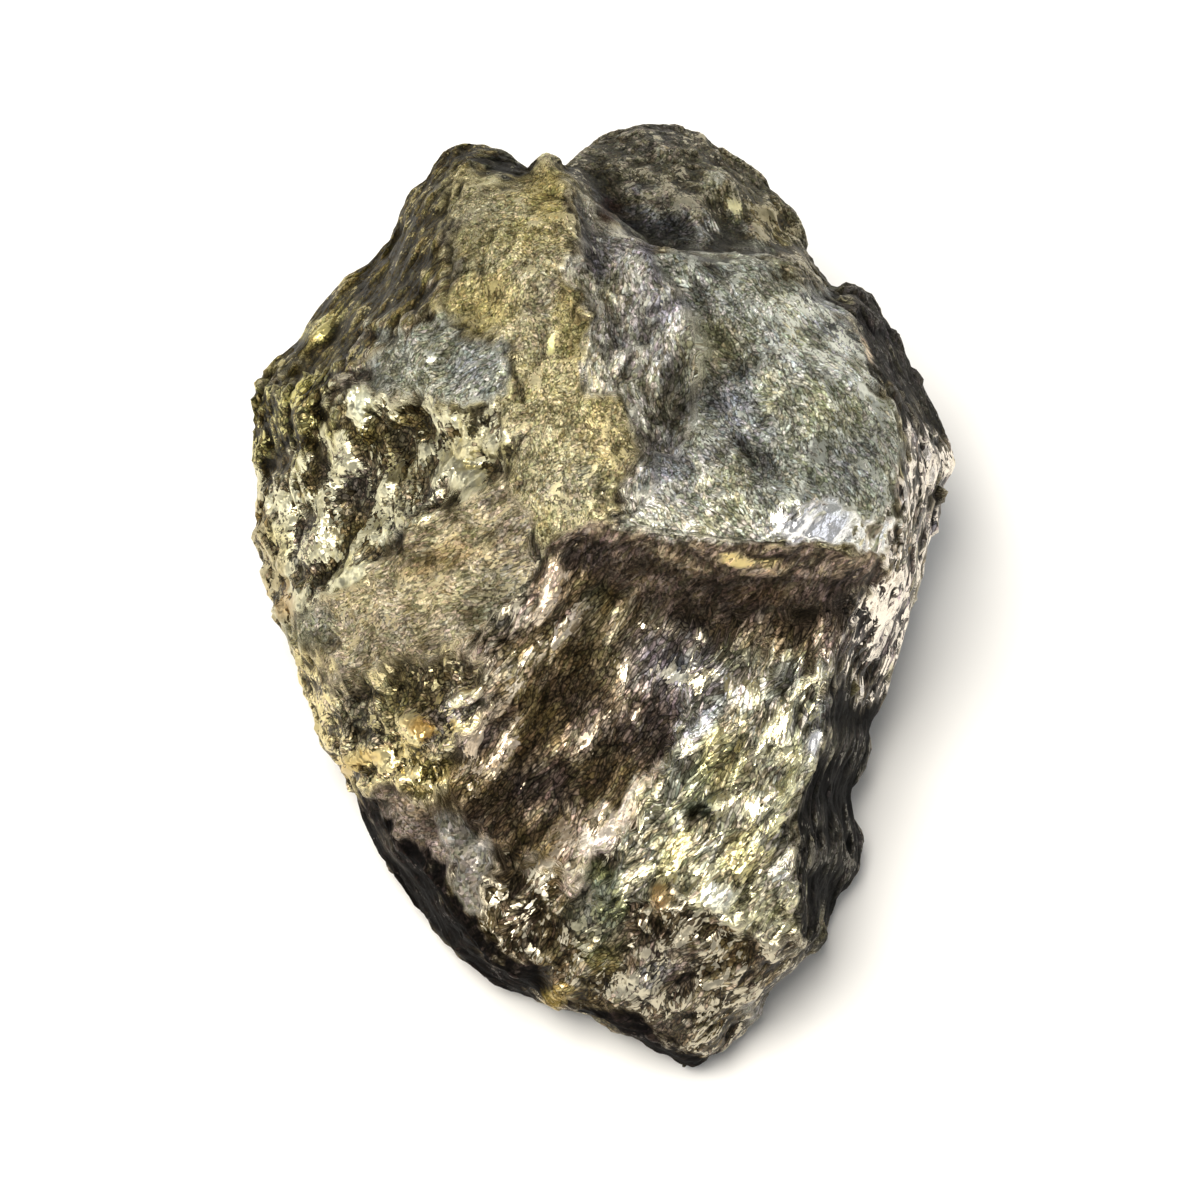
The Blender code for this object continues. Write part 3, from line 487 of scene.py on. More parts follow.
# Where each finish lies on the broad face: which one, the way its grain runs, how soft its border is, and its
# outline. A later one lies over the earlier ones.
zones = {
    "far slope": ("olive", 55, 3, [(-13, 35), (-12.5, 28), (-13.3, 25), (-16.7, 22.5), (-19, 20.4),
        (-23, 18.8), (-31, 19), (-31, 24), (-24, 32), (-17, 40), (-5, 42), (-5, 36), (-8, 35)]),
    "knob dish": ("dish", 20, 1.5, [(-11.5, 37), (-7, 37.4), (-6.4, 35.2), (-10, 34.5)]),
    "crest": ("tan", 75, 2.6, [(-4.7, 37.5), (-2.7, 35.2), (-2.2, 33), (-1.9, 31), (-2.2, 28.6), (-3.2, 26.4),
        (-0.8, 23.6), (-1, 19.8), (-0.2, 18), (1.9, 17), (3.0, 12.5), (1.2, 9.4), (2.6, 7.4), (0, 6),
        (-4.6, 3.8), (-8.5, 7), (-7.5, 13), (-9.2, 16.4), (-7.8, 19.4), (-9.6, 21.9), (-13.3, 25),
        (-12.5, 28), (-12.7, 35), (-8, 35), (-5.8, 36.5)]),
    "satin facet": ("satin", 20, 2.6, [(-18.5, 22), (-16.7, 22.5), (-13.3, 23.5), (-9.6, 21.9), (-7.8, 19.4),
        (-9.2, 16.4), (-11, 15.8), (-16.7, 16.3), (-19, 17.5)]),
    "recess": ("recess", 86, 1.6, [(-1.9, 34), (0, 32.5), (4.2, 29), (8.3, 26.7), (10, 21.7), (8.3, 13.3),
        (7.5, 5.8), (2.6, 6), (1.2, 9.4), (3.0, 12.5), (1.9, 17), (-0.2, 18), (-1, 19.8), (-0.8, 23.6),
        (-3.2, 26.4), (-2.2, 28.6), (-1.9, 31)]),
    "slab": ("slab", 70, 0.8, [(-3, 36), (-2, 42), (10, 43), (20, 36), (21, 28), (17.2, 27.7), (13.3, 28.3),
        (4.2, 28.8), (0.8, 32), (-1, 34)]),
    "slab, lower part": ("slabLow", 70, 2.5, [(0, 33.4), (8, 33), (13.3, 29.8), (8.3, 28.2), (4.2, 28.8),
        (0.8, 32)]),
    "panel": ("satin", -52, 1.8, [(4.2, 28.8), (13.3, 28.3), (19.6, 25.6), (20.8, 23.6), (21.9, 20.8),
        (23.1, 18.1), (24.2, 16.1), (24.8, 14.2), (25, 11.7), (24.8, 8.3), (24.4, 4.2), (14.2, 5), (8.3, 5.3),
        (4.2, 5.8), (2.1, 6.1), (7.5, 13.3), (9, 21)]),
    # Painted sheen along the panel's pale band.
    "panel, pale band": ("paintedSheenSatin", -52, 3, [(12.5, 25), (19.2, 24.2), (23.3, 17.1), (21.7, 16.7),
        (14.2, 21.7)]),
    "panel, foot": ("satin", -52, 3, [(5, 12.5), (12, 12), (14, 6), (4, 6.4)]),
    # Painted highlight on the chamfer.
    "chamfer": ("bright", 60, 0.7, [(14.6, 6.4), (15.8, 7.8), (20.4, 7.5), (23.3, 6.8), (24.8, 6.3),
        (24.5, 3), (21.7, 3.8), (19.2, 4.6), (15.4, 4.8)]),
    # Painted shade on the flank's upper part.
    "right flank": ("flank", 70, 1.4, [(19.6, 25.6), (21, 29), (32, 22), (33, 12), (28, 13), (24.8, 14.2),
        (24.2, 16.1), (23.1, 18.1), (21.9, 20.8), (20.8, 23.6)]),
    "flank strip": ("strip", 70, 2.0, [(25.4, 14.2), (29.2, 13.3), (32, 11), (29, 5), (27, -1), (24, -8.5),
        (20.8, -9), (20, -4.2), (22.5, 1.3), (24.5, 3.2), (25, 11.7)]),
    "hollow": ("hollow", 30, 1.6, [(-31, 18), (-22.5, 18.8), (-19, 17.5), (-16.7, 16.3), (-8.3, 15.8),
        (-8.3, 10), (-12.5, 7.7), (-15.7, 6.3), (-17.1, 4.6), (-17.9, 3.3), (-20.4, 1.3), (-23, 0),
        (-25, -1.7), (-27, -4), (-33, 2.5)]),
    "left bulge": ("bulge", 30, 3, [(-31, 18), (-22.5, 18.4), (-22, 13), (-26, 12), (-31, 11)]),
    "shelf": ("shelf", 24, 1.4, [(-8.3, 10), (-12.5, 7.7), (-15.7, 6.3), (-17.1, 4.6), (-17.9, 3.3),
        (-20.4, 1.3), (-23, 0), (-25.6, -2), (-26, -3.5), (-22.5, -7.5), (-16.7, -6), (-10.8, -4.2),
        (-4.6, 3.8), (-6, 7)]),
    "lumps": ("lumps", 30, 2.2, [(-26, -3), (-22.5, -7.5), (-16.7, -6), (-10.8, -4.2), (-8.3, -6),
        (-10, -10.8), (-13.3, -16.7), (-20.8, -17), (-23, -13), (-28, -6)]),
    "trough": ("trough", 54, 1.2, [(-4.6, 3.8), (-10.8, -4.2), (-8.3, -6), (-10, -8.3), (-13.3, -16.7),
        (-10, -20), (-6.7, -21.7), (-0.8, -23.3), (1.7, -20), (4.2, -15.8), (6.7, -10.8), (8.3, -4.2),
        (19.4, -6), (20, -1), (18.3, -0.8), (8.3, -1.7), (3.3, -0.8), (0, 2.5)]),
    "trough, left wall": ("troughWall", 54, 2.4, [(-4.2, 3.2), (-1, 3), (-2.5, -3.5), (-8.3, -8.5),
        (-10.5, -7.5), (-9, -4.5)]),
    "trough, upper wall": ("troughWall", 54, 3, [(0, 0), (7.5, -2.3), (15, -1.8), (19, -3), (19, -6),
        (8.3, -4.2), (5, -9), (0, -8)]),
    "trough, band": ("band", 54, 1.2, [(5.8, -12.9), (3.3, -14.2), (-2, -21.5), (-3.3, -25.8), (0, -25.8),
        (-0.8, -23.3), (1.7, -20), (4.6, -15.5)]),
    "underside": ("underside", 54, 0.5, [(-4.6, 4), (-2.5, 5.4), (0, 6.1), (8.3, 5.2), (15.8, 4.6),
        (22.5, 3.5), (24.4, 2.5), (23, 1.3), (20.8, 0.5), (18.3, -0.8), (8.3, -1.7), (3.3, -0.8), (0, 2.5)]),
    "lower face": ("splinter", 54, 2.6, [(8.3, -4.2), (13.3, -4.2), (19.4, -5.8), (19, -12), (16.9, -16.7),
        (16.4, -25), (16.5, -28.3), (12.5, -28.3), (8.3, -26.3), (0, -26), (-0.8, -23.3), (1.7, -20),
        (4.2, -15.8), (6.7, -10.8)]),
    # Painted shade on the side that turns away from the light.
    "dark side": ("darkSidePaintedShade", 80, 1.2, [(19.4, -6.3), (21, -8.5), (24, -8), (28, -16), (24, -30),
        (17.3, -29.8), (16.5, -27.5), (16.4, -25), (16.6, -18), (17.9, -14.2), (19, -12), (19.2, -9)]),
    "foot": ("foot", 54, 2.2, [(-0.8, -24), (0, -26), (8.3, -26.3), (12.5, -27.5), (14.2, -28.3), (17, -29.3),
        (18, -33), (8, -42), (0, -39), (-5, -34), (-10, -27), (-8, -21)]),
    "brown facet": ("brownFacet", 10, 1.2, [(-21, -15.8), (-13.3, -17), (-12, -20), (-13.5, -22.5),
        (-18, -21)]),
    "quartz patch": ("quartz", 0, 0.8, [(-13.3, -18), (-10.8, -18.8), (-9.2, -20.8), (-9.4, -23.3),
        (-10, -26), (-12.2, -25.4), (-13, -22)]),
    # Painted shade along the lower left side and round the tip.
    "left underside": ("darkRimPaintedShade", 50, 1.2, [(-21, -15), (-17.5, -18.8), (-14, -21.6), (-12.2, -25.4),
        (-10.4, -27.6), (-7.9, -30), (-4.5, -32.6), (-2.5, -34), (-4, -40), (-20, -32), (-28, -17)]),
    "tip, shadow": ("darkRimPaintedShade", 10, 0.6, [(-4.5, -33.4), (-2, -34), (2.1, -34.6), (4.6, -36.4), (6.7, -37.4),
        (9.4, -37.6), (8, -44), (-4, -40)]),
    "quartz nubs": ("quartz", 0, 0.3, [(12, -33.5), (13.8, -33), (13.6, -35.4), (12.1, -35.3)]),
}
# Single spots of the broad face: where, half widths, turn, height, colour, how much of the colour shows, and
# how much is added to the share of bright crystals. A height below zero is a pit. The hollow's three pits and
# the upper gouge have one above zero, because the solid has them deeper than the stone does. The dark colours
# of the pits, the notch, the slot, the folds and the gouges are painted shade in those hollows, on top of
# their real depth.
marks = {
    "gold knob": ((-14.6, -10.7), (1.2, 1.0), 30, 0.3, "#cfa04c", 0.6, 0.2),
    "cream knob beside it": ((-11.1, -8.2), (1.3, 0.9), 40, 0.5, "#e6d9b8", 0.8, 0.3),
    "lumps, left knob": ((-20.4, -13.6), (1.6, 1.1), 20, 0.4, "#b89f64", 0.7, 0.3),
    "lumps, dull olive": ((-18.8, -9.4), (3.2, 2.0), 10, 0.0, "#6b6440", 0.4, -0.1),
    "orange spot": ((5.0, -25.0), (0.8, 1.1), 0, 0.2, "#b0844a", 0.6, 0.0),
    "cream spot": ((10.4, -24.6), (1.4, 1.0), 0, 0.3, "#e4e2cf", 0.9, 0.4),
    "white fleck": ((18.3, -11.8), (0.5, 1.3), -12, 0.1, "#efefea", 0.95, 0.3),
    "grey streak": ((8.6, -10.0), (2.4, 0.8), 38, 0.1, "#a3a5a4", 0.8, 0.0),
    "green patch": ((0.4, -24.6), (1.5, 2.4), 10, 0.0, "#6f7648", 0.7, 0.0),
    "dark pit": ((7.6, -17.7), (1.2, 0.8), 20, -0.4, "#2c3328", 0.8, -0.3),
    "bright ridge on the face": ((15.4, -16.4), (4.6, 0.7), 76, 0.3, "#e9e4b6", 0.7, 0.3),
    "bright ridge in the trough": ((1.2, -2.5), (2.6, 0.6), 68, 0.2, "#cbbda8", 0.6, 0.12),
    "small ridge in the trough": ((5.4, -3.2), (2.0, 0.5), 62, 0.1, "#c5b7a2", 0.6, 0.1),
    "bright blocks under the ledge": ((-4.0, 1.2), (2.4, 1.2), 66, 0.1, "#d0b99c", 0.6, 0.15),
    "grey block under the ledge": ((-0.4, 0.2), (1.5, 0.9), 60, 0.1, "#aba99f", 0.6, 0.1),
    "pale ridge at the trough's end": ((-9.4, -11.0), (2.6, 0.6), 42, 0.2, "#c9b9a4", 0.6, 0.3),
    "hollow, cream shard": ((-19.6, 16.0), (0.8, 1.7), -8, 0.4, "#e9e8c6", 0.8, 0.4),
    "hollow, lower cream patch": ((-21.2, 1.9), (2.2, 0.8), 34, 0.2, "#d6d5b4", 0.3, 0.3),
    "hollow, deep pit": ((-20.2, 9.9), (3.4, 2.4), 25, 1.7, "#4a4030", 0.15, 0.12),
    "hollow, upper pit": ((-16.0, 12.9), (1.8, 1.0), 0, 0.5, "#2c241c", 0.4, 0.0),
    "hollow, right pit": ((-11.0, 11.4), (3.2, 2.0), 50, 1.3, "#4a3d2c", 0.15, 0.12),
    "hollow, notch": ((-17.1, 4.9), (1.3, 0.5), 62, -0.2, "#2b2318", 0.9, -0.3),
    "hollow, bright edge": ((-17.6, 5.9), (1.6, 0.7), 60, 0.2, "#e4dfc0", 0.6, 0.4),
    "hollow, gold corner": ((-10.9, 13.2), (1.5, 1.2), 20, 0.3, "#cfc084", 0.3, 0.3),
    "left edge, gold": ((-27.6, 3.4), (1.2, 5.4), 12, 0.0, "#8f773c", 0.5, 0.1),
    "left edge, bright gold": ((-26.6, 5.2), (0.9, 1.8), 20, 0.2, "#c9bd7c", 0.4, 0.2),
    "left edge, orange": ((-26.2, -0.6), (0.7, 2.2), 18, 0.0, "#a9793e", 0.35, 0.1),
    "far slope, gold": ((-23.4, 22.6), (2.0, 1.0), 38, 0.2, "#cfc584", 0.6, 0.3),
    "bulge, gold": ((-24.6, 17.6), (1.8, 0.6), 30, 0.2, "#bfb464", 0.6, 0.15),
    "crest, yellow tip": ((-4.6, 34.0), (1.8, 2.6), 10, 0.0, "#a4944f", 0.5, 0.05),
    "crest, yellow side": ((-10.2, 24.8), (2.8, 2.6), -30, 0.0, "#a0914f", 0.5, 0.05),
    "crest, yellow edge": ((-2.6, 23.0), (1.3, 3.6), 5, 0.0, "#a89a5c", 0.5, 0.05),
    "crest, yellow foot": ((0.4, 14.2), (1.8, 3.4), 10, 0.0, "#b9a976", 0.4, 0.0),
    "crest, grey": ((-9.4, 31.0), (2.2, 3.2), -15, 0.0, "#7f7b62", 0.6, 0.0),
    "shelf, orange": ((-13.8, 3.6), (3.2, 1.1), 18, 0.0, "#a78a58", 0.35, 0.0),
    "shelf, grey end": ((-24.6, -2.6), (2.4, 1.6), 20, 0.0, "#7d7f6c", 0.6, 0.0),
    "shelf, grey corner": ((-8.6, 0.4), (2.6, 3.0), 40, 0.0, "#7b7a66", 0.5, 0.1),
    "recess, bright shard": ((1.9, 20.2), (1.5, 0.45), 55, 0.3, "#e3dccb", 0.9, 0.5),
    "recess, dark slot": ((6.0, 16.8), (2.8, 0.5), 92, -0.2, "#2e2a20", 0.8, -0.2),
    "recess, grey veil": ((4.1, 28.0), (0.8, 1.5), 25, 0.0, "#8c8b9b", 0.45, 0.0),
    "recess, second veil": ((-0.3, 27.2), (0.7, 1.2), 0, 0.0, "#85858f", 0.4, 0.0),
    "recess, rust": ((0.6, 32.4), (0.8, 0.9), 0, 0.0, "#3b2218", 0.8, -0.1),
    "panel, lower gouge": ((12.6, 11.8), (2.6, 0.5), -52, -0.1, "#3a372e", 0.8, -0.2),
    "panel, upper gouge": ((10.7, 19.2), (2.6, 0.5), -54, 0.3, "#3d3a30", 0.8, -0.2),
    "panel, blue veil": ((12.6, 16.4), (2.4, 3.4), 30, 0.0, "#8b8f8e", 0.25, 0.0),
    "ledge, gold streak": ((12.6, 2.9), (2.0, 0.3), -4, 0.2, "#cdbb83", 0.9, 0.5),
    "ledge, brown spot": ((13.4, 0.6), (2.2, 0.8), 0, 0.0, "#6d573c", 0.6, 0.0),
    "panel, pale foot": ((8.3, 9.6), (5.4, 3.0), 0, 0.0, "#bfbeb0", 0.5, 0.0),
    "panel, dull left": ((8.4, 19.6), (2.8, 5.6), 0, 0.0, "#6d6b58", 0.75, -0.08),
    "trough, upper": ((4.6, -4.6), (5.6, 3.2), -15, 0.0, "#cbbea6", 0.6, 0.06),
    # Painted shadow: a near black line under the ledge, on a shallow real crack.
    "ledge, lower crack and painted shadow": ((11.5, -1.4), (8.0, 0.35), 3, -0.3, "#241c15", 0.7, -0.1),
    "ledge, dull lip": ((8.6, 6.2), (6.4, 1.4), -3, 0.0, "#cccbbe", 0.8, -0.25),
    # Painted highlight: a near white block on the chamfer.
    "chamfer, bright block": ((17.3, 6.1), (2.9, 1.3), -8, 0.1, "#fffdf6", 0.8, 0.5),
    "slab, grey spot": ((9.7, 35.3), (0.9, 0.8), 0, 0.1, "#9c9c8e", 0.8, 0.1),
    "slab, gold crystal": ((11.3, 32.2), (0.5, 0.7), 20, 0.2, "#e0d8a8", 0.95, 0.5),
    "slab, white crystal": ((9.5, 31.0), (0.5, 0.35), -10, 0.2, "#dcdcd2", 0.95, 0.5),
    "slab, gold rim": ((14.4, 31.2), (2.2, 1.6), -50, 0.0, "#8b7f56", 0.5, 0.25),
    "flank, pale glint": ((22.1, 20.9), (0.25, 0.9), 25, 0.1, "#c9b79c", 0.9, 0.4),
    "face, yellow middle": ((10.2, -12.5), (1.8, 3.6), -20, 0.0, "#b9ad6a", 0.55, 0.05),
    "face, yellow foot": ((12.6, -21.0), (2.6, 2.2), 60, 0.0, "#c2b46c", 0.5, 0.05),
    "face, yellow left": ((6.4, -21.6), (1.2, 2.8), -12, 0.0, "#beb071", 0.5, 0.05),
    "face, green": ((7.6, -15.6), (2.0, 2.6), -30, 0.0, "#71795c", 0.5, 0.0),
    "face, pale top": ((6.6, -5.8), (1.4, 0.9), 40, 0.0, "#cfd4cb", 0.6, 0.3),
    "face, second pale": ((16.0, -5.6), (1.2, 1.4), 0, 0.0, "#c2c7be", 0.5, 0.2),
    "foot, green": ((-0.4, -27.4), (2.0, 3.0), 20, 0.0, "#6f7256", 0.5, 0.0),
    "foot, pale streak": ((3.4, -31.6), (3.0, 0.9), 25, 0.0, "#b5b09c", 0.5, 0.2),
    "foot, gold": ((-3.4, -33.0), (1.2, 0.9), 20, 0.0, "#a9924e", 0.6, 0.1),
    "crest, dark fold": ((-7.2, 18.6), (3.2, 0.35), 112, -0.3, "#3d3826", 0.6, 0.0),
    "crest, dark side fold": ((-12.6, 27.4), (3.6, 0.4), 84, -0.2, "#35301f", 0.6, 0.0),
    "crest, pale fleck": ((-3.9, 21.4), (0.35, 1.0), 5, 0.1, "#efe6a6", 0.9, 0.4),
    "crest, grey foot": ((-2.6, 9.4), (2.6, 1.8), 20, 0.0, "#86826c", 0.5, 0.05),
    "foot, quartz edge": ((16.0, -32.4), (1.6, 0.5), 40, 0.0, "#b9b0ab", 0.6, 0.0),
}
spreadPlan = {
    # What the camera doesn't see is a mix of these, in patches of that size, and how sharply they part.
    "rest": ("weathered", "oldOlive", "foot", "slab"), "restSize": 12, "restContrast": 9,
    # Borders wander, and in a soft one patches of both finishes lie side by side.
    "borderSize": 3.0, "borderReach": 1.3, "patchSize": 1.3, "ramp": 0.25,
    # Where the finishes of the broad face end on the sides: how far behind the part that shows, found in
    # small squares and evened out, with a wandering border, and how far a point may look back.
    "square": 0.6, "rounds": 4, "near": 2.5, "far": 7.0, "edgeReach": 3.0, "edgeSize": 4.0,
    "back": (-0.45, -0.15),
    # Where a spot's colour and its height fade out, in its half widths, and how bright its colour is as tone,
    # as shade and as fleck.
    "spotEdge": (1.35, 0.65), "swellEdge": (1.3, 0.2), "spotStrengths": (0.92, 0.5, 1.35),
}
# What a point's row of numbers holds after its three colours. Those in blended change evenly across a border,
# and those in fixed change at once, because the crystals are laid out with them.
blended = ("share", "rough", "metal", "tilt", "grit", "crack", "speckle", "steep", "spread")
fixed = ("width", "long", "facet", "facetLong", "turn")
column = {name: 9 + number for number, name in enumerate(blended + fixed)}


def finishRow(name, turn):
    # A finish as one row of numbers, in the order that blended and fixed give.
    plan = {**usualFinish, **finishes[name]}
    colours = [*toLinear(plan["tone"]), *toLinear(plan["shade"]), *toLinear(plan["fleck"])]
    size, length, steep = plan["facet"]
    return np.array([*colours, *(plan[key] for key in blended[:-2]), steep,
                     math.radians(plan["spread"]), *plan["grain"], size, length, turn])


def seenPlaces(places):
    # Where points show on the face, (across, up): what is further from the camera is drawn nearer the middle.
    return places[:, :2] / (1 - places[:, 2:] / cameraPlan["distance"])


def onFace(places, normals, plan):
    # 1 on the broad face and 0 round the back: how far a point lies behind the foremost point of its small
    # square of the face, and whether it looks back.
    square = np.floor(seenPlaces(places) / plan["square"]).astype(int)
    square -= square.min(0)
    number = square[:, 0] * (square[:, 1].max() + 1) + square[:, 1]
    foremost = np.full(number.max() + 1, -1e9)
    np.maximum.at(foremost, number, places[:, 2])
    behind = (places[:, 2] - foremost[number])[:, None]
    for _ in range(plan["rounds"]):
        behind = neighbourMean(behind, edges)
    behind = behind[:, 0] + plan["edgeReach"] * swell(places, plan["edgeSize"], 58, 3)
    return ease(-plan["far"], -plan["near"], behind) * ease(*plan["back"], normals[:, 2])


def spreadFinishes(places, facing, plan):
    # One row of finish for each point. It starts from a mix that large noise shares out, and each zone is
    # laid over it where the point lies inside the outline and on the broad face. The spots come last.
    drift = np.stack([swell(places, plan["restSize"], seed, 3) for seed in (41, 42, 43, 44)], -1)
    choices = np.stack([finishRow(name, 0) for name in plan["rest"]])
    parts = np.exp(plan["restContrast"] * drift)
    rows = parts / parts.sum(1)[:, None] @ choices
    rows[:, -len(fixed):] = choices[0, -len(fixed):]
    wander = np.stack([swell(places, plan["borderSize"], seed, 5) for seed in (51, 52)], -1)
    seen = seenPlaces(places) + wander * plan["borderReach"]
    patch = swell(places, plan["patchSize"], 55, 3)
    for name, turn, soft, outline in zones.values():
        inside = insideOutline(seen, outline)
        lies = ease(-plan["ramp"] * soft, plan["ramp"] * soft, inside + soft * patch) * facing
        row = finishRow(name, turn)
        whole = (inside > 0) & (facing > 0.5)
        rows[:, :-len(fixed)] += lies[:, None] * (row - rows)[:, :-len(fixed)]
        rows[whole, -len(fixed):] = row[-len(fixed):]
    for at, half, turn, _, colour, amount, flecks in marks.values():
        lies = ease(*plan["spotEdge"], insideEllipse(seen, at, half, turn)) * facing
        part = (lies * amount)[:, None]
        for start, strength in zip((0, 3, 6), plan["spotStrengths"]):
            rows[:, start:start + 3] += part * (toLinear(colour) * strength - rows[:, start:start + 3])
        rows[:, column["share"]] += lies * flecks
    return rows


def markHeights(places, facing, plan):
    # The height of the single spots, in mm, each a smooth swell or pit inside its ellipse.
    seen = seenPlaces(places)
    return sum(rise * ease(*plan["swellEdge"], insideEllipse(seen, at, half, turn)) * facing
               for at, half, turn, rise, *_ in marks.values() if rise)


def alongGrain(places, turn):
    # Turns the points so that the grain runs along the first axis.
    cos, sin = np.cos(np.radians(turn)), np.sin(np.radians(turn))
    return np.stack([places[:, 0] * cos + places[:, 1] * sin, places[:, 1] * cos - places[:, 0] * sin,
                     places[:, 2]], -1)


def ridges(places, seed, octaves=3):
    # Sharp crests between soft hollows, one unit apart: 0.7 less 2.4 times the size of smooth noise, which is
    # about zero on average. Each octave is half as large and 0.55 as high.
    total = 0.0
    for octave in range(octaves):
        noise = swell(places * 2 ** octave + 3.1 * octave, 0.5, seed + octave)
        total = total + (0.7 - 2.4 * np.abs(noise)) * 0.55 ** octave
    return total


reliefPlan = {
    "waveSize": 5.0, "waveReach": 0.8,  # bends the broken steps, so that none is straight
    "deep": (0.65, 0.35),  # a step's size into the stone: a share of its size, and of its length
    "smaller": 0.42,  # the second, smaller set of steps
    "crests": 0.22,  # height of the crests along the grain, of the steps' own
    "gritSize": 0.9,
}


def brokenRelief(places, rows, plan):
    # Height of the broken surface, in mm: flat broken faces with smaller ones on them, sharp crests along the
    # grain, and grit.
    size, length, steep, turn, grit = (rows[:, column[name]]
                                       for name in ("facet", "facetLong", "steep", "turn", "grit"))
    wave = np.stack([swell(places, plan["waveSize"], seed, 2) for seed in (61, 62, 63)], -1)
    shape = np.stack([size * length, size, size * (plan["deep"][0] + plan["deep"][1] * length)], -1)
    turned = alongGrain(places + wave * plan["waveReach"], turn) / shape
    height = size * steep * sum(part * facets(turned / part, seed)
                                for part, seed in ((1.0, 71), (plan["smaller"], 72)))
    height += plan["crests"] * size * steep * ridges(turned, 75)
    return height + grit * swell(places, plan["gritSize"], 81, 2)


normals = pointNormals(points, squares) @ faceAxes.T
places = toFace(points)
facing = onFace(places, normals, spreadPlan)
rows = spreadFinishes(places, facing, spreadPlan)
print("finishes spread over", len(zones), "zones")

height = brokenRelief(places, rows, reliefPlan) + markHeights(places, facing, spreadPlan)
rest = ease(*stoneGrid["flat"], points[:, 2] / mm)  # the flat that it rests on stays flat
places = places + normals * (height * rest)[:, None]
points = np.clip(fromFace(places), np.array(cadLow), np.array(cadHigh))
stone.data.vertices.foreach_set("co", points.astype(np.float32).ravel())
stone.data.polygons.foreach_set("use_smooth", np.ones(len(squares), bool))
stone.data.update()
print("relief added, height in mm:", np.round(np.percentile(height, [1, 50, 99]), 2).tolist())


def setAttribute(mesh, name, kind, values):
    # Stores one value for each point under that name, for the material to read.
    attribute = mesh.attributes.new(name, kind, "POINT")
    key = {"FLOAT_VECTOR": "vector", "FLOAT_COLOR": "color"}[kind]
    attribute.data.foreach_set(key, values.astype(np.float32).ravel())


def layMap(mesh, charts, steps):
    # The six squares side by side in the map, three across and two up, with a small gap round each.
    number = np.arange(len(charts)) // steps ** 2
    gap = 0.004
    over, level = (number % 3)[:, None], (number // 3)[:, None]
    across = (over + gap + charts[..., 0] * (1 - 2 * gap)) / 3
    up = (level + gap + charts[..., 1] * (1 - 2 * gap)) / 2
    chart = np.stack([across, up], -1).astype(np.float32)
    mesh.uv_layers.new(name="OFBake").data.foreach_set("uv", chart.ravel())


def hollowness(points, normals, edges, rounds):
    # How far each point lies below the surface around it, in mm: the mean of its neighbours, taken again for
    # each round, less the point itself, along the way that it faces.
    mean = points
    for _ in range(rounds):
        mean = neighbourMean(mean, edges)
    return ((mean - points) * normals).sum(-1) / mm


# Tarnish stains lie at random, the hollows get painted shade, and the raised edges are worn bright with a
# painted highlight. Hollows of two sizes count.
wearAndPaintedLightPlan = {
    "hollows": {3: 0.05, 25: 0.22},  # rounds of the mean, and the depth that counts as one
    "deepest": 1.5,  # a hollow counts at most this many times
    "stain": 2.4, "spot": 0.8, "stainAndPaintedShade": (-1.0, 0.7),  # sizes of the stains, and where stains and painted shade in hollows fade out
    "shading": 0.85,  # how much of the shade colour shows in a stain and as painted shade in a hollow
    "rubbedAndPaintedHighlight": 0.35, "edge": (0.3, 1.5),  # painted highlight on worn edges: how much fleck shows on an edge, and what counts as one
    "dark": 0.45, "deep": (0.5, 1.8),  # painted shade: how much darker a deep hollow is, and what counts as deep
    "cluster": 1.7, "fewest": 0.3, "more": 1.4,  # groups of bright crystals: their size and how full they are
    # fewer bright crystals in the hollows, as part of their painted shade, and the lightest that a fleck may
    # be
    "fewerInHollows": 0.12, "lightest": 0.97,
    "warmSize": 5.0, "warm": 0.34, "warmTint": (0.5, 0.3, -1.5),  # patches that tarnish turned gold or grey
    "wave": 3.0, "waveReach": 0.5,  # bends the grain
}
normals = pointNormals(points, squares)
most = wearAndPaintedLightPlan["deepest"]
hollow = sum(np.clip(hollowness(points, normals, edges, rounds) / depth, -most, most)
             for rounds, depth in wearAndPaintedLightPlan["hollows"].items()) / most
stain = swell(places, wearAndPaintedLightPlan["stain"], 91, 3) + 0.5 * swell(places, wearAndPaintedLightPlan["spot"], 92, 2)
# Painted shade: the shade colour shows in the stains and in the hollows, and deep hollows are darker still.
stainAndPaintedShade = 1 - ease(*wearAndPaintedLightPlan["stainAndPaintedShade"], stain - hollow)[:, None]
rubbedAndPaintedHighlight = ease(*wearAndPaintedLightPlan["edge"], -hollow)[:, None] * wearAndPaintedLightPlan["rubbedAndPaintedHighlight"]
tone = rows[:, 0:3] + (rows[:, 3:6] - rows[:, 0:3]) * stainAndPaintedShade * wearAndPaintedLightPlan["shading"]
tone = tone * (1 - wearAndPaintedLightPlan["dark"] * ease(*wearAndPaintedLightPlan["deep"], hollow))[:, None]
warm = swell(places, wearAndPaintedLightPlan["warmSize"], 94, 3)[:, None] * wearAndPaintedLightPlan["warm"] * rows[:, [column["crack"]]]
tone = tone * (1 + warm * np.array(wearAndPaintedLightPlan["warmTint"]))
# Painted highlight: the raised edges turn towards the fleck colour.
tone += (rows[:, 6:9] - tone) * rubbedAndPaintedHighlight
print("hollowness:", np.round(np.percentile(hollow, [2, 25, 50, 75, 98]), 2).tolist())
one = np.ones((len(points), 1))
share, rough, metal, tilt, crack, speckle, spread, width, long = (rows[:, column[name]] for name in (
    "share", "rough", "metal", "tilt", "crack", "speckle", "spread", "width", "long"))
fleck = np.clip(rows[:, 6:9], 0, wearAndPaintedLightPlan["lightest"])
group = ease(-0.5, 0.5, swell(places, wearAndPaintedLightPlan["cluster"], 93, 2))
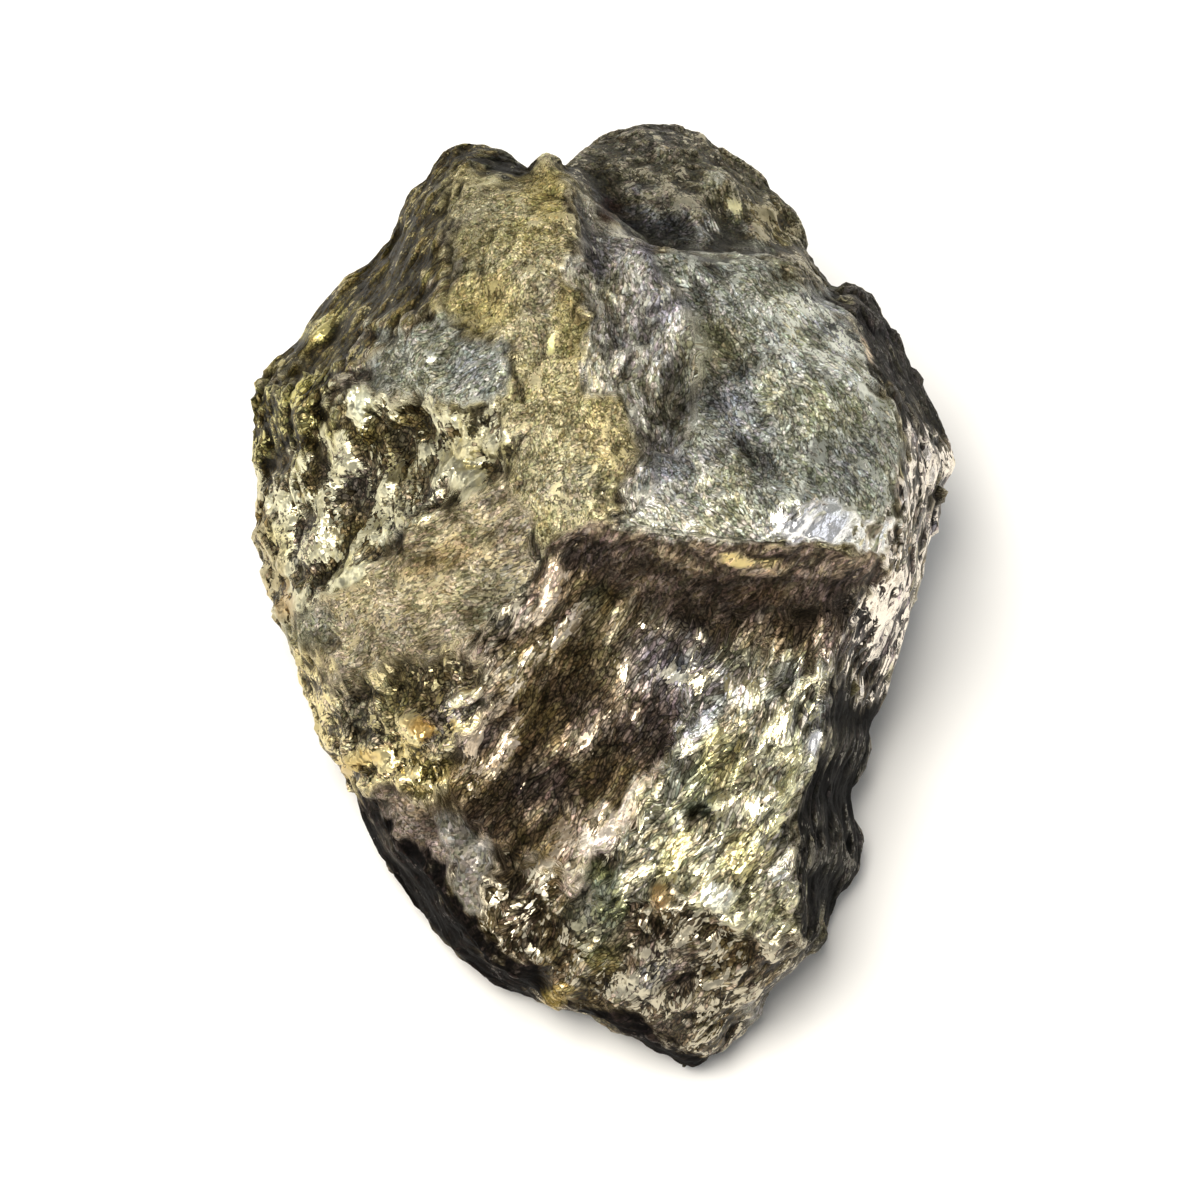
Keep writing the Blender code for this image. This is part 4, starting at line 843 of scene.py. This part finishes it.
# Fewer bright crystals in the hollows, as part of their painted shade.
share = share * (wearAndPaintedLightPlan["fewest"] + wearAndPaintedLightPlan["more"] * group) - wearAndPaintedLightPlan["fewerInHollows"] * hollow
setAttribute(stone.data, "tone", "FLOAT_COLOR", np.hstack([tone, one]))
setAttribute(stone.data, "fleck", "FLOAT_COLOR", np.hstack([fleck, one]))
setAttribute(stone.data, "finish", "FLOAT_VECTOR", np.stack([share, rough, tilt], -1))
setAttribute(stone.data, "skin", "FLOAT_VECTOR", np.stack([metal, crack, speckle], -1))
wave = np.stack([swell(places, wearAndPaintedLightPlan["wave"], seed, 2) for seed in (64, 65, 66)], -1)
flow = alongGrain(places + wave * wearAndPaintedLightPlan["waveReach"], rows[:, column["turn"]])
setAttribute(stone.data, "flow", "FLOAT_VECTOR", flow)
setAttribute(stone.data, "stretch", "FLOAT_VECTOR", np.stack([1 / (width * long), 1 / width, spread], -1))
layMap(stone.data, charts, stoneGrid["steps"])


def brokenPyrite(plan):
    # Massive pyrite, broken by a blow: a metal of small crystals whose faces lean every way, so that single
    # crystals flash pale gold while their neighbours stay dark. Tarnish and iron stain dull the rest, so
    # that it is less of a mirror than the fresh crystals. flow is a place in mm with the grain along X, and
    # stretch turns it into crystals.
    material, output = newMaterial("broken pyrite")
    add = partial(addNode, material)
    tone, fleck, finish, skin, flow, stretch = (
        add("Attribute", {"attribute_name": name})
        for name in ("tone", "fleck", "finish", "skin", "flow", "stretch"))
    parts, sizes, skins = (add("SeparateXYZ", links={"Vector": source.outputs["Vector"]})
                           for source in (finish, stretch, skin))
    # A shard is a cell of a pattern drawn out along the grain. It is bent a little, so that none is a plain
    # polygon.
    bend = add("TexNoise", {"Scale": 1 / plan["bendSize"], "Detail": 3.0}, {"Vector": flow.outputs["Vector"]})
    reach = add("Math", {"operation": "MULTIPLY_ADD", 1: plan["bend"], 2: plan["bendLeast"]},
                {0: sizes.outputs["Z"]})
    wander = add("VectorMath", {"operation": "SCALE"}, {0: bend.outputs["Color"], "Scale": reach.outputs[0]})
    bent = add("VectorMath", {"operation": "ADD"}, {0: wander.outputs[0], 1: flow.outputs["Vector"]})
    scales = add("CombineXYZ", links={
        "X": sizes.outputs["X"], "Y": sizes.outputs["Y"], "Z": sizes.outputs["X"]})
    long = add("VectorMath", {"operation": "MULTIPLY"}, {0: bent.outputs[0], 1: scales.outputs[0]})
    shard, shardEdge = (
        add("TexVoronoi", {"Scale": 1 / plan["shard"], "feature": feature}, {"Vector": long.outputs[0]})
        for feature in ("F1", "DISTANCE_TO_EDGE"))
    drawShard = add("SeparateXYZ", links={"Vector": shard.outputs["Color"]})
    # The grain of each shard swings its own way, up to the spread. Crystals and their finest parts lie along
    # it.
    centred = add("Math", {"operation": "SUBTRACT", 1: 0.5}, {0: drawShard.outputs["X"]})
    swing = add("Math", {"operation": "MULTIPLY"}, {0: centred.outputs[0], 1: sizes.outputs["Z"]})
    turned = add("VectorRotate", {"rotation_type": "Z_AXIS"},
                 {"Vector": bent.outputs[0], "Angle": swing.outputs[0]})
    grain = add("VectorMath", {"operation": "MULTIPLY"}, {0: turned.outputs[0], 1: scales.outputs[0]})
    small, smallEdge, fine = (
        add("TexVoronoi", {"Scale": scale, "feature": feature}, {"Vector": grain.outputs[0]})
        for scale, feature in ((1.0, "F1"), (1.0, "DISTANCE_TO_EDGE"), (plan["fineScale"], "F1")))
    drawSmall, drawFine = (add("SeparateXYZ", links={"Vector": cells.outputs["Color"]})
                           for cells in (small, fine))
    # How bright a crystal is: its own draw, its finest part's and its shard's, with the share of bright ones.
    chance = parts.outputs["X"]
    for weight, draw in zip(plan["chance"], (drawSmall, drawFine, drawShard)):
        chance = add("Math", {"operation": "MULTIPLY_ADD", 1: weight},
                     {0: draw.outputs["Y"], 2: chance}).outputs[0]
    least, full = plan["bright"]
    bright = add("MapRange", {"interpolation_type": "SMOOTHSTEP", "From Min": least, "From Max": full},
                 {"Value": chance})
    # Crystals and shards differ in how dark they are, and it is dark between them. Dust speckles the rest.
    place = add("TexCoord")
    dust = add("TexNoise", {"Scale": 1 / (plan["dust"] * mm), "Detail": 3.0, "Roughness": 0.6},
               {"Vector": place.outputs["Object"]})
    factor = None
    for source, end, low, high, start, stop, amount in (
            (drawFine, "Z", *plan["fineTone"], 0, 1, None),
            (drawSmall, "Z", *plan["smallTone"], 0, 1, None),
            (drawShard, "Z", *plan["shardTone"], 0, 1, None),
            (smallEdge, "Distance", plan["creviceTone"], 1.0, 0, plan["crevice"], "Y"),
            (shardEdge, "Distance", plan["crackTone"], 1.0, 0, plan["crack"] / plan["shard"], "Y"),
            (dust, "Fac", *plan["dustTone"], *plan["dustRange"], "Z")):
        part = add("MapRange", {"From Min": start, "From Max": stop, "To Min": low, "To Max": high},
                   {"Value": source.outputs[end]}).outputs[0]
        if amount:
            part = add("Mix", {2: 1.0}, {0: skins.outputs[amount], 3: part}).outputs[0]
        factor = part if factor is None else add(
            "Math", {"operation": "MULTIPLY"}, {0: factor, 1: part}).outputs[0]
    varied = add("VectorMath", {"operation": "SCALE"}, {0: tone.outputs["Color"], "Scale": factor})
    # Tarnish gives each crystal its own tint, from brown and pink to grey green.
    tint = add("VectorMath", {"operation": "MULTIPLY_ADD", 1: plan["tintRange"], 2: plan["tintLow"]},
               {0: small.outputs["Color"]})
    tinted = add("VectorMath", {"operation": "MULTIPLY"}, {0: varied.outputs[0], 1: tint.outputs[0]})
    colour = add("Mix", {"data_type": "RGBA"},
                 {0: bright.outputs[0], 6: tinted.outputs[0], 7: fleck.outputs["Color"]})
    # Each shard leans its own way, and so do its crystals and their finest parts, each a little less.
    lean = None
    for source, weight in ((shard, plan["shardLean"]), (small, plan["smallLean"]), (fine, plan["fineLean"])):
        centred = add("VectorMath", {"operation": "SUBTRACT", 1: (0.5, 0.5, 0.5)},
                      {0: source.outputs["Color"]})
        part = add("VectorMath", {"operation": "SCALE", "Scale": weight}, {0: centred.outputs[0]})
        lean = part if lean is None else add(
            "VectorMath", {"operation": "ADD"}, {0: lean.outputs[0], 1: part.outputs[0]})
    scaled = add("VectorMath", {"operation": "SCALE"}, {0: lean.outputs[0], "Scale": parts.outputs["Z"]})
    flat = add("NewGeometry")
    leaning = add("VectorMath", {"operation": "ADD"}, {0: flat.outputs["Normal"], 1: scaled.outputs[0]})
    normal = add("VectorMath", {"operation": "NORMALIZE"}, {0: leaning.outputs[0]})
    bump = add("Bump", {"Strength": plan["dustStrength"], "Distance": plan["dustHeight"] * mm},
               {"Height": dust.outputs["Fac"], "Normal": normal.outputs[0]})
    smooth = add("Math", {"operation": "MULTIPLY_ADD", 1: -plan["brightSmooth"]},
                 {0: bright.outputs[0], 2: parts.outputs["Y"]})
    metallic = add("MapRange", {"To Max": plan["brightMetal"]},
                   {"Value": bright.outputs[0], "To Min": skins.outputs["X"]})
    shader = add("BsdfPrincipled", {"Specular IOR Level": plan["shine"]}, {
        "Base Color": colour.outputs[2], "Metallic": metallic.outputs[0], "Roughness": smooth.outputs[0],
        "Normal": bump.outputs["Normal"]})
    material.node_tree.links.new(shader.outputs["BSDF"], output.inputs["Surface"])
    return material


pyritePlan = {
    "shard": 4.5, "crack": 0.3, "crackTone": 0.3,  # size of a shard and width of its cracks, in crystals
    "bendSize": 1.6,  # how far the shards' outlines wander, in mm: more where their grain swings more
    "bend": 0.06, "bendLeast": 0.04,
    "fineScale": 1.9,  # how many of its finest parts lie across a crystal
    "fineTone": (0.36, 1.64), "smallTone": (0.68, 1.32), "shardTone": (0.66, 1.34),  # darkest and lightest
    "shardLean": 1.1, "smallLean": 0.8, "fineLean": 0.5,  # how far each leans from the one it is part of
    "crevice": 0.16, "creviceTone": 0.10,  # half width of the dark gaps between crystals, in crystals
    "chance": (0.42, 0.28, 0.30),  # what the crystal, its finest part and its shard add to being bright
    "bright": (0.865, 0.915),  # and from which sum on it is
    "brightSmooth": 0.10, "brightMetal": 0.95,  # how much smoother a bright one is, and how metallic
    "tintLow": (0.92, 0.96, 0.84), "tintRange": (0.16, 0.08, 0.32),
    "dust": 0.22,  # grain of the tarnish, in mm, drawn coarser than it is so that it shows
    "dustTone": (0.32, 1.68), "dustRange": (0.32, 0.68),
    "dustHeight": 0.06, "dustStrength": 0.6,
    "shine": 0.03,  # tarnish mirrors less than a clean stone does
}
stone.data.materials.append(brokenPyrite(pyritePlan))
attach(stone, "root")
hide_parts("pyrite")
print("stone dressed")
